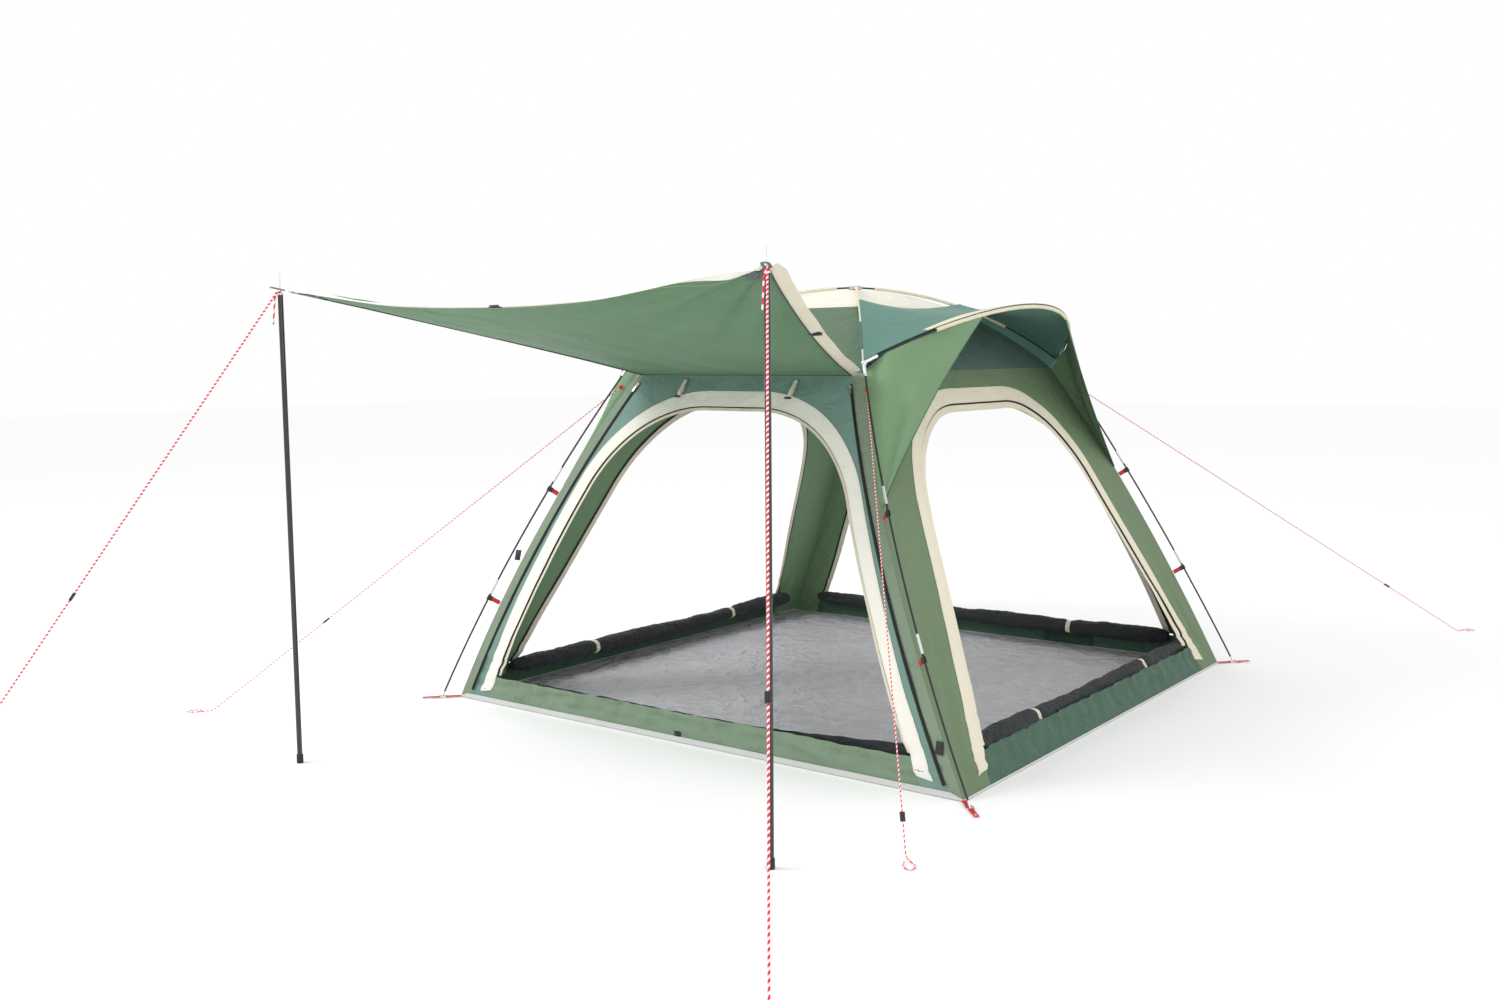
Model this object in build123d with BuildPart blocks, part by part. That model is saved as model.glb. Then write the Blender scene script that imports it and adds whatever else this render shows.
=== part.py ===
"""Family tent with four arched doors, two visors and a front awning held up on two poles.

Millimetres, +Z up. The origin is the middle of the floor, on the ground. The awning side faces -Y.
"""

import math
import os

from build123d import *

# ---------------------------------------------------------------- driving dimensions
HALF_WIDTH = 1440.0  # floor, along X
HALF_DEPTH = 1475.0  # floor, along Y
EAVE_Z = 1640.0  # top seam of the walls
EAVE_HALF_WIDTH = 650.0
EAVE_HALF_DEPTH = 965.0
MID_Z = 820.0  # height at which the bow of the end walls is set
MID_HALF_DEPTH = 1325.0
CLOTH = 3.0  # thickness of every fabric solid
FLOOR = 4.0  # thickness of the groundsheet
SEWN_GAP = 0.6  # clearance between two fabric solids sewn to each other
ROOF_RISE = 410.0  # from the eave to the top of the roof cloth
CAP_Z = 1948.0  # seam between the green roof panels and the cream cap

ROD_R = 4.5  # glass-fibre rods of the frame
HUB = (680.0, 993.0, 1680.0)
FOOT = (1500.0, 1540.0, 12.0)
LEG_MID = (1087.0, 1354.0, 846.0)
CROWN_Z = 2064.0
VISOR_OUT = 347.0  # how far the visor arch stands out of the hubs
VISOR_UP = 240.0  # how far it rises over them

SILL_Z = 130.0  # top of the sill under each door
DOOR_TOP_Z = 1486.0
TRIM = 70.0  # width of the cream binding round each door

AWNING_POLES = {"right": (1245.0, -2473.0), "left": (-1118.0, -2657.0)}
POLE_TOP_Z = 1985.0
POLE_R = 11.0
POLE_WALL = 1.0
SPIKE_R = 3.0
AWNING_Z = 2008.0  # height of the awning cloth at the pole tips
SEAM_Y = -976.0  # the awning's seam bead, which is its hinge line
SEAM_Z = 1630.0
SEAM_HALF = 606.0
SEAM_R = 4.0

ROPE_D = 5.0
AWNING_ROPE_D = 8.0

CORNERS = {"front_left": (-1, -1), "front_right": (1, -1), "back_left": (-1, 1), "back_right": (1, 1)}


def save(part, name):
    """Labels a finished piece and writes it as the node of that name."""
    part.label = name
    export_step(part, f"parts/{name}.step")


def group(parts, name):
    """Several separate pieces of one kind, kept in one node."""
    save(Compound(children=[solid for part in parts for solid in part.solids()]), name)


os.makedirs("parts", exist_ok=True)

# ---------------------------------------------------------------- shape of the tent body
# The side walls are flat and lean inwards. The end walls bow outwards on a circular arc.


def wall_x(z):
    """Half-width of the tent body at a height."""
    return HALF_WIDTH + (EAVE_HALF_WIDTH - HALF_WIDTH) * z / EAVE_Z


def circle_through(a, b, c):
    """Centre and radius of the circle through three points of a plane."""
    d = 2 * (a[0] * (b[1] - c[1]) + b[0] * (c[1] - a[1]) + c[0] * (a[1] - b[1]))
    sq = [p[0] ** 2 + p[1] ** 2 for p in (a, b, c)]
    x = (sq[0] * (b[1] - c[1]) + sq[1] * (c[1] - a[1]) + sq[2] * (a[1] - b[1])) / d
    y = (sq[0] * (c[0] - b[0]) + sq[1] * (a[0] - c[0]) + sq[2] * (b[0] - a[0])) / d
    return x, y, math.hypot(a[0] - x, a[1] - y)


BOW_Y, BOW_Z, BOW_R = circle_through((HALF_DEPTH, 0), (MID_HALF_DEPTH, MID_Z), (EAVE_HALF_DEPTH, EAVE_Z))


def wall_y(z):
    """Half-depth of the tent body at a height."""
    return BOW_Y + math.sqrt(BOW_R**2 - (z - BOW_Z) ** 2)


def end_strip(side, start, thick, low, high):
    """Sketches the bowed profile of an end wall, from one height to another."""
    heights = (low, (low + high) / 2, high)
    out = [(side * (wall_y(z) + start + thick), z) for z in heights]
    back = [(side * (wall_y(z) + start), z) for z in heights]
    with BuildSketch(Plane.YZ.offset(-HALF_DEPTH)) as strip:
        with BuildLine():
            ThreePointArc(*out)
            Line(out[2], back[2])
            ThreePointArc(*back)
            Line(back[0], out[0])
        make_face()
    return strip.sketch


def side_strip(side, start, thick, low, high):
    """Sketches the leaning profile of a side wall, from one height to another."""
    corners = [(wall_x(low) + start, low), (wall_x(low) + start + thick, low)]
    corners += [(wall_x(high) + start + thick, high), (wall_x(high) + start, high)]
    with BuildSketch(Plane.XZ.offset(-HALF_DEPTH)) as strip:
        Polygon(*[(side * x, z) for x, z in corners], align=None)
    return strip.sketch


def door_outline(plane, foot, lean, low, high, corner):
    """Sketches a door: a trapezium with rounded top corners."""
    with BuildSketch(plane.offset(-REACH)) as door:
        half_low = foot - lean * low
        half_high = foot - lean * high
        Polygon((-half_low, low), (half_low, low), (half_high, high), (-half_high, high), align=None)
        fillet(door.vertices().group_by(Axis.Y)[-1], corner)
    return door.sketch


END_DOOR = {"foot": 1250.0, "lean": 0.45}
SIDE_DOOR = {"foot": 1245.0, "lean": 0.347}
DOOR_CORNER = 650.0
REACH = 2000.0  # long enough to cut through everything
WALL_LOW = FLOOR + SEWN_GAP

# ---------------------------------------------------------------- walls and door bindings


def end_wall(side):
    with BuildPart() as wall:
        extrude(end_strip(side, -CLOTH, CLOTH, WALL_LOW, EAVE_Z), amount=2 * HALF_DEPTH)
        with BuildSketch(Plane.XZ.offset(-REACH)):
            Polygon(
                (-wall_x(0), 0), (wall_x(0), 0), (wall_x(EAVE_Z), EAVE_Z), (-wall_x(EAVE_Z), EAVE_Z), align=None
            )
        extrude(amount=2 * REACH, mode=Mode.INTERSECT)
        door = door_outline(Plane.XZ, **END_DOOR, low=SILL_Z, high=DOOR_TOP_Z, corner=DOOR_CORNER)
        extrude(door, amount=2 * REACH, mode=Mode.SUBTRACT)
    return wall.part


def side_wall(side):
    tuck = CLOTH + SEWN_GAP
    edge = [(wall_y(z) - tuck - 1.0, z) for z in (0, MID_Z, EAVE_Z)]
    with BuildPart() as wall:
        extrude(side_strip(side, -CLOTH, CLOTH, WALL_LOW, EAVE_Z), amount=2 * HALF_DEPTH)
        with BuildSketch(Plane.YZ.offset(-REACH)):
            with BuildLine():
                ThreePointArc(*edge)
                Line(edge[2], (-edge[2][0], EAVE_Z))
                ThreePointArc(*[(-y, z) for y, z in reversed(edge)])
                Line((-edge[0][0], 0), edge[0])
            make_face()
        extrude(amount=2 * REACH, mode=Mode.INTERSECT)
        door = door_outline(Plane.YZ, **SIDE_DOOR, low=SILL_Z, high=DOOR_TOP_Z, corner=DOOR_CORNER)
        extrude(door, amount=2 * REACH, mode=Mode.SUBTRACT)
    return wall.part


def door_trim(strip, side, plane, door):
    """Cream binding sewn on the outside of a wall, round its door and open at the foot."""
    wide = {"foot": door["foot"] + TRIM, "lean": door["lean"]}
    outer = door_outline(plane, **wide, low=TRIM_LOW, high=DOOR_TOP_Z + TRIM, corner=DOOR_CORNER + TRIM)
    inner = door_outline(plane, **door, low=TRIM_LOW - 20, high=DOOR_TOP_Z, corner=DOOR_CORNER)
    with BuildPart() as trim:
        extrude(strip(side, SEWN_GAP, CLOTH, TRIM_LOW - 30, EAVE_Z - 20), amount=2 * HALF_DEPTH)
        extrude(outer, amount=2 * REACH, mode=Mode.INTERSECT)
        extrude(inner, amount=2 * REACH, mode=Mode.SUBTRACT)
    return trim.part


def door_lip(strip, side, plane, door):
    """Cream facing sewn on the inside of a wall, that stands a little into its door."""
    wide = {"foot": door["foot"] + LIP_SEAM, "lean": door["lean"]}
    narrow = {"foot": door["foot"] - LIP, "lean": door["lean"]}
    outer = door_outline(plane, **wide, low=LIP_LOW, high=DOOR_TOP_Z + LIP_SEAM, corner=DOOR_CORNER)
    inner = door_outline(plane, **narrow, low=LIP_LOW - 20, high=DOOR_TOP_Z - LIP, corner=DOOR_CORNER - LIP)
    with BuildPart() as lip:
        extrude(strip(side, -2 * CLOTH - SEWN_GAP, CLOTH, LIP_LOW - 30, EAVE_Z - 20), amount=2 * HALF_DEPTH)
        extrude(outer, amount=2 * REACH, mode=Mode.INTERSECT)
        extrude(inner, amount=2 * REACH, mode=Mode.SUBTRACT)
    return lip.part


TRIM_LOW = 50.0
LIP = 40.0  # how far the inner facing stands into the door
LIP_SEAM = 8.0
LIP_LOW = SILL_Z + 10.0
trims = []
for name, side in (("front", -1), ("back", 1)):
    save(end_wall(side), f"{name}_wall")
    trims.append(door_trim(end_strip, side, Plane.XZ, END_DOOR))
    trims.append(door_lip(end_strip, side, Plane.XZ, END_DOOR))
for name, side in (("left", -1), ("right", 1)):
    save(side_wall(side), f"{name}_wall")
    trims.append(door_trim(side_strip, side, Plane.YZ, SIDE_DOOR))
    trims.append(door_lip(side_strip, side, Plane.YZ, SIDE_DOOR))
group(trims, "door_trims")

# ---------------------------------------------------------------- groundsheet
with BuildPart() as groundsheet:
    with BuildSketch():
        Rectangle(2 * HALF_WIDTH, 2 * HALF_DEPTH)
    extrude(amount=FLOOR)
save(groundsheet.part, "groundsheet")

# ---------------------------------------------------------------- roof


def vault(half_width, half_depth, base, top):
    """Solid under the vault whose four creases run from the eave corners to the top."""
    with BuildPart() as solid:
        for plane, half, mode in ((Plane.XZ, half_width, Mode.ADD), (Plane.YZ, half_depth, Mode.INTERSECT)):
            with BuildSketch(plane.offset(-REACH)):
                with BuildLine():
                    Bezier((-half, base), (0, 2 * top - base), (half, base))
                    Line((half, base), (-half, base))
                make_face()
            extrude(amount=2 * REACH, mode=mode)
    return solid.part


ROOF_BASE = EAVE_Z + 1.0
shell = vault(EAVE_HALF_WIDTH, EAVE_HALF_DEPTH, ROOF_BASE, EAVE_Z + ROOF_RISE) - vault(
    EAVE_HALF_WIDTH - 8, EAVE_HALF_DEPTH - 8, ROOF_BASE, EAVE_Z + ROOF_RISE - CLOTH - 0.5
)

with BuildPart() as roof_panels:
    add(shell)
    split(bisect_by=Plane.XY.offset(CAP_Z - 0.4), keep=Keep.BOTTOM)
save(roof_panels.part, "roof_panels")

with BuildPart() as roof_cap:
    add(shell)
    split(bisect_by=Plane.XY.offset(CAP_Z + 0.4), keep=Keep.TOP)
save(roof_cap.part, "roof_cap")

# ---------------------------------------------------------------- rods of the frame


def mirrored(point, corner):
    return Vector(corner[0] * point[0], corner[1] * point[1], point[2])


def rod(points, start, end, radius, bore=0.0):
    """Bent rod, or a tube where it has a bore, along part of the arc through three points."""
    whole = Edge.make_three_point_arc(*points)
    a, b, c = (whole @ t for t in (start, (start + end) / 2, end))
    with BuildPart() as bent:
        with BuildLine() as path:
            ThreePointArc(a, b, c)
        with BuildSketch(Plane(origin=path.line @ 0, z_dir=path.line % 0)):
            Circle(radius)
            if bore:
                Circle(bore, mode=Mode.SUBTRACT)
        sweep()
    return bent.part


def leg_arc(corner):
    return [mirrored(p, corner) for p in (FOOT, LEG_MID, HUB)]


def roof_arc(corner):
    crown = (10.0, 14.6, CROWN_Z)
    half = (HUB[0] * 0.51, HUB[1] * 0.51, CROWN_Z - (CROWN_Z - HUB[2]) * 0.26)
    return [mirrored(p, corner) for p in (HUB, half, crown)]


def visor_arc(side):
    """Rim of a visor: an arc from the front hub to the back hub that leans outwards."""
    ends = [Vector(side * HUB[0], y, HUB[2] + 6) for y in (-HUB[1], HUB[1])]
    return [ends[0], Vector(side * (HUB[0] + VISOR_OUT), 0, HUB[2] + VISOR_UP + 20), ends[1]]


JOINT_GAP = 0.0025  # share of a leg left between two rod sections
FERRULES = (1 / 3, 2 / 3)
SECTIONS = ((0.012, 1 / 3 - JOINT_GAP), (1 / 3 + JOINT_GAP, 2 / 3 - JOINT_GAP), (2 / 3 + JOINT_GAP, 0.992))
leg_rods = [rod(leg_arc(corner), a, b, ROD_R) for corner in CORNERS.values() for a, b in SECTIONS]
group(leg_rods, "leg_poles")

FERRULE_R = 5.8
FERRULE_HALF = 0.021
ferrules = [
    rod(leg_arc(corner), t - FERRULE_HALF, t + FERRULE_HALF, FERRULE_R, ROD_R + 0.05)
    for corner in CORNERS.values()
    for t in FERRULES
]
group(ferrules, "leg_ferrules")

roof_rods = [rod(roof_arc(corner), 0.02, 0.985, ROD_R) for corner in CORNERS.values()]
group(roof_rods, "roof_poles")
visor_rods = [rod(visor_arc(side), 0.008, 0.992, ROD_R) for side in (-1, 1)]
group(visor_rods, "visor_poles")

SLEEVE_R = 8.0
sleeves = [rod(roof_arc(corner), 0.3, 0.93, SLEEVE_R, ROD_R + 0.3) for corner in CORNERS.values()]
sleeves += [rod(visor_arc(side), 0.17, 0.83, SLEEVE_R + 1, ROD_R + 0.3) for side in (-1, 1)]
group(sleeves, "pole_sleeves")

# crown where the four roof poles meet, and the three-way hubs at the eave corners
with BuildPart() as crown_joint:
    with BuildSketch(Plane.XY.offset(CROWN_Z - 9)):
        Circle(36)
    extrude(amount=18)
    fillet(crown_joint.edges().filter_by(GeomType.CIRCLE), 4)
    for roof_rod in roof_rods:
        add(roof_rod, mode=Mode.SUBTRACT)
save(crown_joint.part, "crown_joint")

HUB_R = 8.5


def hub(corner):
    """Moulded socket that holds the top of a leg, a roof pole and a visor pole."""
    side = corner[0]
    rim = visor_arc(side)
    rim_part = (0.0, 0.03) if corner[1] < 0 else (0.97, 1.0)
    with BuildPart() as socket:
        add(rod(leg_arc(corner), 0.965, 1.0, HUB_R))
        add(rod(roof_arc(corner), 0.0, 0.085, HUB_R))
        add(rod(rim, *rim_part, HUB_R))
        with Locations(mirrored(HUB, corner) + Vector(0, 0, 3)):
            Sphere(14)
        for inner in (*leg_rods, *roof_rods, *visor_rods):
            add(inner, mode=Mode.SUBTRACT)
    return socket.part


group([hub(corner) for corner in CORNERS.values()], "corner_hubs")

# ---------------------------------------------------------------- visors and their gussets


def visor_point(side, u, v):
    """Point of a visor: u runs from the roof's crease line to the rim, v from front to back."""
    s = min(1.0, max(0.5, abs(v)))
    rise = CROWN_Z - HUB[2]
    dip = max(0.0, 1 - 4 * v * v)
    inner = Vector(side * (HUB[0] * s - 10 * dip), HUB[1] * v, HUB[2] + rise * (1 - s * s) + 12 - 30 * dip)
    rim = Edge.make_three_point_arc(*visor_arc(side)) @ ((v + 1) / 2)
    lift = Vector(0, 0, 5)
    sag = 26 * 4 * u * (1 - u) * (1 - v * v)
    return inner * (1 - u) + (rim + lift) * u - Vector(0, 0, sag)


def cloth_panel(grid, facing, thick=CLOTH):
    """Sheet of cloth through a grid of points, with its thickness on the side that it faces."""
    with BuildPart() as panel:
        thicken(Face.make_surface_from_array_of_points(grid), amount=thick, normal_override=facing)
    return panel.part


VISOR_V = [-0.955 + 1.91 * i / 12 for i in range(13)]
for name, side in (("left", -1), ("right", 1)):
    grid = [[visor_point(side, u / 4, v) + Vector(0, 0, 7) for u in range(5)] for v in VISOR_V]
    save(cloth_panel(grid, (0, 0, 1)), f"visor_{name}")


def gusset(corner):
    """Sail between the rim and the leg, closing one end of a visor. Its free edge is hollow."""
    side, end = corner
    arc = Edge.make_three_point_arc(*visor_arc(side))

    def rim(t):
        return arc @ (t if end < 0 else 1 - t) - Vector(0, 0, 18)

    def root(z):
        return Vector(side * (wall_x(z) + 9), end * (wall_y(z) + 3), z)

    far, tail = rim(0.30), root(1080)
    inward = (root(1450) - (far + tail) / 2).normalized()
    grid = []
    for i in range(7):
        t = 0.04 + 0.90 * i / 6
        seam = root(EAVE_Z - (EAVE_Z - 1080) * t)
        free = far * (1 - t) + tail * t + inward * (4 * t * (1 - t) * 35)
        row = []
        for k in range(5):
            w = k / 4
            bow = rim(0.01 + 0.29 * w) - root(EAVE_Z) * (1 - w) - far * w
            row.append(seam * (1 - w) + free * w + bow * (min(1, 2 * w) * (1 - t) ** 2.2))
        grid.append(row)
    return cloth_panel(grid, (side, end, 0))


group([gusset(corner) for corner in CORNERS.values()], "visor_gussets")

# ---------------------------------------------------------------- clips that hang the walls on the legs


def frame_plane(origin, along, up):
    """Plane whose X runs along a direction, with Z as near to another as it can be."""
    across = Vector(*up).cross(Vector(*along))
    return Plane(origin=origin, x_dir=along, z_dir=Vector(*along).cross(across))


CLIP_AT = (0.30, 0.625)
CLIP_H = 24.0
clips = []
straps = []
for corner in CORNERS.values():
    arc = Edge.make_three_point_arc(*leg_arc(corner))
    for t in CLIP_AT:
        on_leg = arc @ t
        z = on_leg.Z
        on_wall = Vector(corner[0] * (wall_x(z) + 1), corner[1] * (wall_y(z) + 1), z - 4)
        inward = (on_wall - on_leg).normalized()
        seat = Plane(origin=on_leg, x_dir=inward, z_dir=arc % t)
        with BuildPart() as clip:
            with BuildSketch(seat.offset(-CLIP_H / 2)):
                Circle(9)
                with Locations((12, 0)):
                    Rectangle(14, 12)
                Circle(ROD_R + 0.05, mode=Mode.SUBTRACT)
                with Locations((-9, 0)):
                    Rectangle(12, 6, mode=Mode.SUBTRACT)
            extrude(amount=CLIP_H)
        clips.append(clip.part)
        length = (on_wall - on_leg).length - 29.5
        with BuildPart() as strap:
            with BuildSketch(seat.offset(-CLIP_H / 2 + 1)):
                with Locations((19.3 + length / 2, 0)):
                    Rectangle(length, 2.2)
            extrude(amount=CLIP_H - 2)
        straps.append(strap.part)
group(clips, "leg_clips")
group(straps, "clip_straps")

# ---------------------------------------------------------------- corner rings, webbings, peg loops and pins

RING_HALF_U = 17.0
RING_HALF_V = 15.0
WIRE_R = 2.2
RING_Z = 5.2
PEG_LOOP = 84.0
rings = []
webbings = []
pins = []
for name, corner in CORNERS.items():
    centre = mirrored((FOOT[0], FOOT[1], RING_Z), corner)
    out = (centre - mirrored((HALF_WIDTH, HALF_DEPTH, RING_Z), corner)).normalized()
    flat = Plane(origin=centre, x_dir=out, z_dir=(0, 0, 1))
    with BuildPart() as ring:
        with BuildLine(flat) as loop:
            FilletPolyline(
                (RING_HALF_U, -RING_HALF_V),
                (RING_HALF_U, RING_HALF_V),
                (-RING_HALF_U, RING_HALF_V),
                (-RING_HALF_U, -RING_HALF_V),
                radius=4,
                close=True,
            )
        with BuildSketch(Plane(origin=loop.line @ 0, z_dir=loop.line % 0)):
            Circle(WIRE_R)
        sweep()
    rings.append(ring.part)
    across = Plane(origin=centre, x_dir=out, z_dir=Vector(0, 0, 1).cross(out)).offset(-10)
    reach = (centre - mirrored((HALF_WIDTH, HALF_DEPTH, RING_Z), corner)).length
    with BuildPart() as webbing:
        with BuildSketch(across):
            with Locations((-RING_HALF_U, 0)):
                Circle(4.2)
            with Locations(((-RING_HALF_U - reach + 0.5) / 2, 0)):
                Rectangle(reach - RING_HALF_U - 0.5, 2.4)
            with Locations((-RING_HALF_U, 0)):
                Circle(WIRE_R + 0.05, mode=Mode.SUBTRACT)
        extrude(amount=20)
    webbings.append(webbing.part)
    with BuildPart() as peg_loop:
        with BuildSketch(across):
            with Locations((RING_HALF_U, 0)):
                Circle(4.2)
            with Locations((RING_HALF_U + PEG_LOOP / 2, 0)):
                Rectangle(PEG_LOOP, 2.4)
            with Locations((RING_HALF_U, 0)):
                Circle(WIRE_R + 0.05, mode=Mode.SUBTRACT)
        extrude(amount=20)
        with BuildSketch(flat.offset(-20)):
            with Locations((RING_HALF_U + PEG_LOOP - 26, 0)):
                SlotOverall(36, 11)
        extrude(amount=40, mode=Mode.SUBTRACT)
    save(peg_loop.part, f"peg_loop_{name}")
    leg_end = Edge.make_three_point_arc(*leg_arc(corner)) @ 0.0105
    tip = mirrored((FOOT[0] + 2, FOOT[1] + 1, 4.5), corner)
    with BuildPart() as pin:
        with BuildSketch(Plane(origin=tip, z_dir=leg_end - tip)):
            Circle(3.5)
        extrude(amount=(leg_end - tip).length)
    pins.append(pin.part)
group(rings, "corner_rings")
group(webbings, "corner_webbings")
group(pins, "leg_end_pins")

# ---------------------------------------------------------------- awning poles
SECTION = 660.0
SPIGOT = 60.0
FOOT_CAP_H = 36.0


def tube(at, low, high, outer, inner):
    with BuildPart() as pipe:
        with BuildSketch(Plane(origin=(*at, low))):
            Circle(outer)
            Circle(inner, mode=Mode.SUBTRACT)
        extrude(amount=high - low)
    return pipe.part


pole_caps = []
spikes = []
shock_cords = []
pole_sections = {"lower": [], "middle": [], "upper": []}
for at in AWNING_POLES.values():
    bore = POLE_R - POLE_WALL
    for i, section in enumerate(pole_sections):
        low = 3.0 if i == 0 else i * SECTION + 0.3
        high = POLE_TOP_Z if i == 2 else (i + 1) * SECTION
        pipe = tube(at, low, high, POLE_R, bore)
        if i:
            spigot = tube(at, low - SPIGOT, low + 40, bore - 0.05, bore - 1.2)
            pipe = pipe + spigot + tube(at, low, low + 40, bore + 0.2, bore - 1.2)
        pole_sections[section].append(pipe)
    with BuildPart() as cap:
        with BuildSketch(Plane(origin=(*at, 0.0))):
            Circle(POLE_R + 3)
        extrude(amount=FOOT_CAP_H)
        fillet(cap.edges().group_by(Axis.Z)[-1], 1.5)
        with BuildSketch(Plane(origin=(*at, 2.9))):
            Circle(POLE_R + 0.05)
        extrude(amount=FOOT_CAP_H, mode=Mode.SUBTRACT)
    pole_caps.append(cap.part)
    with BuildPart() as spike:
        with BuildSketch(Plane(origin=(*at, POLE_TOP_Z + 0.2))):
            Circle(POLE_R)
        extrude(amount=5)
        with BuildSketch(Plane(origin=(*at, POLE_TOP_Z - 28))):
            Circle(bore - 0.05)
        extrude(amount=29)
        with BuildSketch(Plane(origin=(*at, POLE_TOP_Z))):
            Circle(SPIKE_R)
        extrude(amount=96)
        fillet(spike.edges().group_by(Axis.Z)[-1], 2)
    spikes.append(spike.part)
    shock_cords.append(tube(at, 8, POLE_TOP_Z - 30, 2.0, 0.8))
for section, pipes in pole_sections.items():
    group(pipes, f"awning_pole_{section}_sections")
group(pole_caps, "awning_pole_foot_caps")
group(spikes, "awning_pole_spikes")
group(shock_cords, "awning_pole_shock_cords")

# ---------------------------------------------------------------- awning
EYE_IN = (44.0, 13.0)  # slot of the webbing eye that hooks over a spike
EYE_OUT = (64.0, 33.0)
EDGE_SAG = 95.0  # how far the front edge hangs between the poles
EDGE_HOLLOW = 80.0  # how far it is cut back between them
SIDE_HOLLOW = 45.0
BELLY = 30.0
TIP_LEFT = Vector(*AWNING_POLES["left"], AWNING_Z)
TIP_RIGHT = Vector(*AWNING_POLES["right"], AWNING_Z)


def awning_point(a, b):
    """Point of the awning: a runs from left, -1, to right, 1, and b from the seam to the front."""
    seam = Vector(a * SEAM_HALF, SEAM_Y - SEAM_R - 0.5, SEAM_Z)
    front = TIP_LEFT * ((1 - a) / 2) + TIP_RIGHT * ((1 + a) / 2)
    hang = 1 - a * a
    front += Vector(0, EDGE_HOLLOW * hang, -EDGE_SAG * hang)
    bulge = 4 * b * (1 - b)
    shift = Vector(-(a**3) * SIDE_HOLLOW * bulge, 0, -BELLY * bulge * (1 - a * a))
    return seam * (1 - b) + front * b + shift


def eye_plane(tip, corner_a):
    """Plane of the webbing eye: X runs from the seam's end out through the pole tip."""
    seam_end = awning_point(corner_a, 0)
    out = (tip - seam_end).normalized()
    return Plane(origin=tip + out * 11, x_dir=out, z_dir=out.cross(Vector(-out.Y, out.X, 0)) * -1)


EYES = [eye_plane(TIP_LEFT, -1), eye_plane(TIP_RIGHT, 1)]
AWNING_GRID = [[awning_point(-1 + i / 6, j / 6) for i in range(13)] for j in range(7)]
with BuildPart() as awning_panel:
    add(cloth_panel(AWNING_GRID, (0, 0, 1)))
    for eye in EYES:
        with BuildSketch(eye.offset(-40)):
            SlotOverall(EYE_OUT[0] + 3, EYE_OUT[1] + 3)
        extrude(amount=80, mode=Mode.SUBTRACT)
save(awning_panel.part, "awning_panel")

with BuildPart() as seam_bead:
    with BuildSketch(Plane.YZ.offset(-SEAM_HALF)):
        with Locations((SEAM_Y, SEAM_Z)):
            Circle(SEAM_R)
    extrude(amount=2 * SEAM_HALF)

eyes = []
for eye in EYES:
    with BuildPart() as webbing_eye:
        with BuildSketch(eye.offset(-1)):
            SlotOverall(*EYE_OUT)
            SlotOverall(*EYE_IN, mode=Mode.SUBTRACT)
        extrude(amount=3.5)
    eyes.append(webbing_eye.part)
group(eyes, "awning_eyes")


def awning_strip(start, end, width_a=0.0, width_b=0.0, lift=CLOTH + 0.8):
    """Trim lying on the awning, from one (a, b) to another, with a width in a or in b."""
    grid = []
    for j in range(2):
        row = []
        for i in range(9):
            a = start[0] + (end[0] - start[0]) * i / 8 + width_a * j
            b = start[1] + (end[1] - start[1]) * i / 8 + width_b * j
            row.append(awning_point(a, b) + Vector(0, 0, lift))
        grid.append(row)
    return cloth_panel(grid, (0, 0, 1), 2.0)


SIDE_TRIM = 0.05
bindings = [seam_bead.part, awning_strip((-0.9, 0.972), (0.9, 0.972), width_b=0.026)]
for a in (-1, 1 - SIDE_TRIM):
    bindings.append(awning_strip((a, 0.03), (a, 0.94), width_a=SIDE_TRIM))
group(bindings, "awning_bindings")

# ---------------------------------------------------------------- front zips, their sliders and pulls
ZIP_TOP_Z = 1592.0
ZIP_LOW_Z = 48.0
ZIP_TOP_X = 614.0
ZIP_LOW_X = 1352.0
ZIP_OUT = SEWN_GAP + 3.0  # how far the zip's middle line stands off the wall
TAPE_W = 14.0
TAPE_T = 2.0
SLIDER_L = 24.0
PULL_L = 40.0


def zip_line(side):
    """Arc of a front zip, from top to bottom, as three points."""
    points = []
    for z in (ZIP_TOP_Z, (ZIP_TOP_Z + ZIP_LOW_Z) / 2, ZIP_LOW_Z):
        x = ZIP_TOP_X + (ZIP_LOW_X - ZIP_TOP_X) * (ZIP_TOP_Z - z) / (ZIP_TOP_Z - ZIP_LOW_Z)
        points.append(Vector(side * x, -wall_y(z) - ZIP_OUT, z))
    return points


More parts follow.
